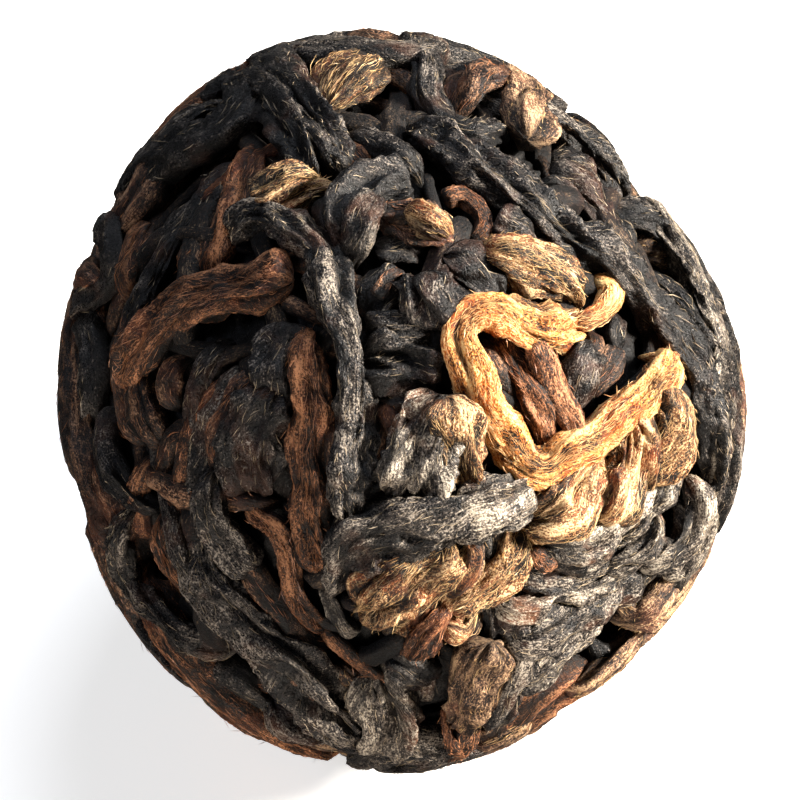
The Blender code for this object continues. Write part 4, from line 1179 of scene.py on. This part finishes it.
# Points of a leaf's surface at places between its rings and columns, each blended from four
def onSurface(grid, ring, column):
    rings, columns = grid.shape[:2]
    ring = np.clip(ring, 0.0, rings - 1.001)  # just short of the last, to leave one beyond it
    lowRing = ring.astype(int)
    ringShare = (ring - lowRing)[:, None]
    lowColumn = np.floor(column).astype(int)
    columnShare = (column - lowColumn)[:, None]
    here = lowColumn % columns
    beside = (lowColumn + 1) % columns
    near = grid[lowRing, here] * (1.0 - columnShare) + grid[lowRing, beside] * columnShare
    far = grid[lowRing + 1, here] * (1.0 - columnShare) + grid[lowRing + 1, beside] * columnShare
    return near * (1.0 - ringShare) + far * ringShare


# Hairs of a leaf: spindles of three sides whose root, middle and tip follow its surface, mostly
# brushed one way; a few stray off it
def downOfLeaf(surface, perMm2, rng):
    form = downForm
    grid = surface["points"]
    rings, columns, _ = grid.shape
    area = surface["length"] * surface["width"] * form["hairyGirth"]
    count = rng.poisson(area * perMm2 * surface["hairy"])
    ring = rng.uniform(0.0, rings - 1.0, count)
    aside = np.clip(rng.normal(0.0, form["roundSpread"], count), -form["roundMost"], form["roundMost"])
    column = columns * (0.5 + aside)
    length = rng.uniform(*form["lengths"], count)
    lengthwise = ring / rings * surface["length"] / form["tuftLength"]
    crosswise = column / columns * form["tuftsRound"]
    tuft = latticeNoise(np.stack([lengthwise, crosswise, np.zeros(count)], axis=-1), form["slantSeed"])
    slant = rng.normal(0.0, form["spread"], count) + form["tuftSpread"] * tuft
    forward = np.where(rng.uniform(size=count) < form["brushed"], 1.0, -1.0)
    ringRun = length * np.cos(slant) * forward * rings / surface["length"]
    columnRun = length * np.sin(slant) * columns / (surface["width"] * form["girth"])
    bow = rng.normal(0.0, form["bow"], count) * columns
    root = onSurface(grid, ring, column)
    middle = onSurface(grid, ring + ringRun * 0.5, column + columnRun * 0.5 + bow)
    tip = onSurface(grid, ring + ringRun, column + columnRun)
    outward = onSurface(surface["outward"], ring, column)
    stray = rng.uniform(size=count) < form["strays"]
    lift = np.where(stray, rng.uniform(*form["strayLifts"], count), form["lie"])[:, None]
    middle = middle + outward * (form["lie"] + form["arch"] * lift)
    tip = tip + outward * lift
    root = root - outward * form["rooted"]
    kept = outlineRadius(unit(middle)) - np.linalg.norm(middle, axis=1) < form["deepest"]
    kept &= onSurface(surface["cut"][..., None], ring, column)[:, 0] < form["nearestCut"]
    kept &= root[:, 2] > flatHeight + form["aboveFlat"]
    kept &= np.linalg.norm(tip - root, axis=1) > form["shortest"]
    return root[kept], middle[kept], tip[kept], outward[kept]


# All hairs of some leaves as one mesh: five points and six triangles each, and their tones
def downPiece(surfaces, rng):
    parts = [downOfLeaf(surface, leafLooks[surface["kind"]]["down"], rng) for surface in surfaces]
    root, middle, tip, outward = (np.concatenate(part) for part in zip(*parts))
    count = len(root)
    run = unit(tip - root)
    first = unit(np.cross(run, outward))
    second = np.cross(run, first)
    radius = rng.uniform(*downForm["radii"], count)[:, None]
    thirds = [2.0 * math.pi * third / 3.0 for third in range(3)]
    corners = [middle + (first * math.cos(turn) + second * math.sin(turn)) * radius for turn in thirds]
    points = np.stack([root, *corners, tip], axis=1).reshape(-1, 3)
    pattern = np.array([[0, 2, 1], [0, 3, 2], [0, 1, 3], [4, 1, 2], [4, 2, 3], [4, 3, 1]])
    faces = (np.arange(count)[:, None, None] * 5 + pattern[None]).reshape(-1, 3)
    byChance, byTuft, forAll = downForm["tones"]
    tufts = 0.5 + 0.5 * latticeNoise(root / downForm["toneSize"], downForm["toneSeed"])
    tone = np.clip(rng.uniform(0.0, 1.0, count) * byChance + tufts * byTuft + forAll, 0.0, 1.0)
    return points, faces, np.repeat(tone, 5)


# The core under the leaves: lowered below the bed, and rough with ridges of matted scraps
coreForm = {
    "depth": 1.5,
    "rings": 110,
    "columns": 200,
    "relief": 0.3,
    "wavesPerMm": 1.3,
    # two sets of ridges: how the noise is stretched each way, how steep they are, and a seed
    "ridges": (((1.6, 0.7, 1.0), 1.5, 21), ((1.2, 2.6, 1.8), 1.2, 22)),
    "grain": (4.0, 0.4, 23),  # finer noise over them: its waves and height against theirs, and a seed
    "tone": 0.3,
}


# The core as a tube from pole to pole, its radius moved by the ridges
def coreSurface():
    polar = np.linspace(0.0, math.pi, coreForm["rings"] + 2)[1:-1][:, None]
    turn = (2.0 * math.pi * np.arange(coreForm["columns"]) / coreForm["columns"])[None, :]
    direction = np.stack([
        np.sin(polar) * np.cos(turn), np.sin(polar) * np.sin(turn), np.cos(polar) * np.ones_like(turn),
    ], axis=-1)
    radius = outlineRadius(direction) - coreForm["depth"]
    place = direction * radius[..., None] * coreForm["wavesPerMm"]
    ridges = 0.0
    for stretch, steepness, seed in coreForm["ridges"]:
        ridges = ridges + 0.5 - steepness * np.abs(latticeNoise(place * np.array(stretch), seed))
    waves, height, seed = coreForm["grain"]
    ridges = ridges + height * latticeNoise(place * waves, seed)
    return {
        "points": pressed(direction * (radius + coreForm["relief"] * ridges)[..., None]),
        "around": turn * radius,
        "along": polar * radius,
        # this depth makes the painted gap shade paint the core near black
        "depth": coreForm["depth"],
        "groove": 0.0,
        "ridge": 0.5,
        "cut": 0.0,
        "tone": coreForm["tone"],
    }


flatHeight = -(outlineRadius(np.array([[0.0, 0.0, -1.0]]))[0] - ballForm["flatDepth"])
print("laying the leaves")
leaves = layAllLeaves()
shapeRng = np.random.default_rng(leafMesh["seed"])
surfaces = [leafSurface(leaf, index, shapeRng) for index, leaf in enumerate(leaves)]
print("rolled", len(surfaces), "leaves")

for kind, looks in leafLooks.items():
    ofKind = [surface for surface in surfaces if surface["kind"] == kind]
    points, faces, places, values = joinedTubes(ofKind)
    addPiece(looks["piece"], points, faces, leafMaterial(looks), places, values)

# the core's rings run downwards, so its triangles are turned over
points, faces, places, values = joinedTubes([coreSurface()])
matLooks = dict(leafLooks["dark"], name="mattedLeaf")
addPiece("mattedCore", points, faces[:, ::-1], leafMaterial(matLooks), places, values)

downRng = np.random.default_rng(downForm["seed"])
for downKind, looks in downLooks.items():
    downy = [surface for surface in surfaces if leafLooks[surface["kind"]]["downLooks"] == downKind]
    points, faces, tone = downPiece(downy, downRng)
    addPiece(looks["name"], points, faces, downMaterial(looks), None, {"tone": tone}, smooth=False)


# The stage: a pale floor lit from below as a light table, soft lights, and the camera at the
# photograph's angle
stageForm = {
    "frameWidth": 26.67,  # millimetres across the picture at the ball's middle
    "nearest": 0.005,  # metres that the camera sees from
    "floorHalf": 1.2,  # metres
    "floorColour": "#f6f5f3",
    "floorGlow": 0.7,
    "surroundings": 0.065,
    "surroundingsColour": "#ffffff",
}
# Each lamp's place is in metres right and up from the ball and towards the eye, its power in watts
lampForm = {
    "key": {"place": (0.30, 0.09, 0.12), "size": 0.07, "power": 6.2, "colour": "#fff7ec"},
    "top": {"place": (0.05, 0.30, 0.10), "size": 0.14, "power": 0.7, "colour": "#eef4ff"},
    "bounce": {"place": (-0.04, -0.26, 0.13), "size": 0.16, "power": 0.95, "colour": "#fff3e6"},
    "window": {"place": (-0.24, 0.10, 0.20), "size": 0.08, "power": 0.2, "colour": "#e2ebff"},
}


# A glowing sheet of paper under the pearl, which neither shades nor lights it
def addFloor():
    half = stageForm["floorHalf"]
    mesh = bpy.data.meshes.new("paleFloor")
    corners = [(-half, -half, 0.0), (half, -half, 0.0), (half, half, 0.0), (-half, half, 0.0)]
    mesh.from_pydata(corners, [], [(0, 1, 2, 3)])
    material, tree = newMaterial("mattPaper")
    colour = linear(stageForm["floorColour"])
    surface = addNode(tree, "ShaderNodeBsdfPrincipled", {
        "Base Color": colour, "Roughness": 0.9,
        "Emission Color": colour, "Emission Strength": stageForm["floorGlow"],
    })
    addNode(tree, "ShaderNodeOutputMaterial", {"Surface": surface.outputs["BSDF"]})
    mesh.materials.append(material)
    floor = bpy.data.objects.new("paleFloor", mesh)
    floor.visible_diffuse = False  # the floor's glow keeps its shadow pale and doesn't light the pearl
    floor.visible_glossy = False
    floor.visible_shadow = False  # lets the bounce lamp shine up through it
    bpy.context.scene.collection.objects.link(floor)


# Puts a lamp or the camera at an offset in metres from the ball's middle, looking back at it
def addLookingBack(name, data, offset):
    looker = bpy.data.objects.new(name, data)
    looker.location = np.array([0.0, 0.0, -flatHeight]) * millimetre + offset
    looker.rotation_mode = "QUATERNION"
    looker.rotation_quaternion = Vector(offset.tolist()).to_track_quat("Z", "Y")
    bpy.context.scene.collection.objects.link(looker)
    return looker


# Soft square lamps, and an even white all round
def addLights():
    for name, lamp in lampForm.items():
        light = bpy.data.lights.new(name + "Lamp", "AREA")
        light.size = lamp["size"]
        light.energy = lamp["power"]
        light.color = linear(lamp["colour"])[:3]
        addLookingBack(name + "Lamp", light, np.array(lamp["place"]) @ viewAxes())
    world = bpy.data.worlds.new("studio")
    world.use_nodes = True
    background = world.node_tree.nodes["Background"]
    background.inputs["Color"].default_value = linear(stageForm["surroundingsColour"])
    background.inputs["Strength"].default_value = stageForm["surroundings"]
    bpy.context.scene.world = world


# The camera's angle of view takes in the width of the frame at the ball's middle
def addCamera():
    lens = bpy.data.cameras.new("camera")
    lens.angle = 2.0 * math.atan(stageForm["frameWidth"] * 0.5 / ballForm["viewDistance"])
    lens.clip_start = stageForm["nearest"]
    toEye = viewAxes()[2] * ballForm["viewDistance"] * millimetre
    bpy.context.scene.camera = addLookingBack("camera", lens, toEye)
    bpy.context.scene.view_settings.view_transform = "Standard"


addFloor()
addLights()
addCamera()
print("set the stage")
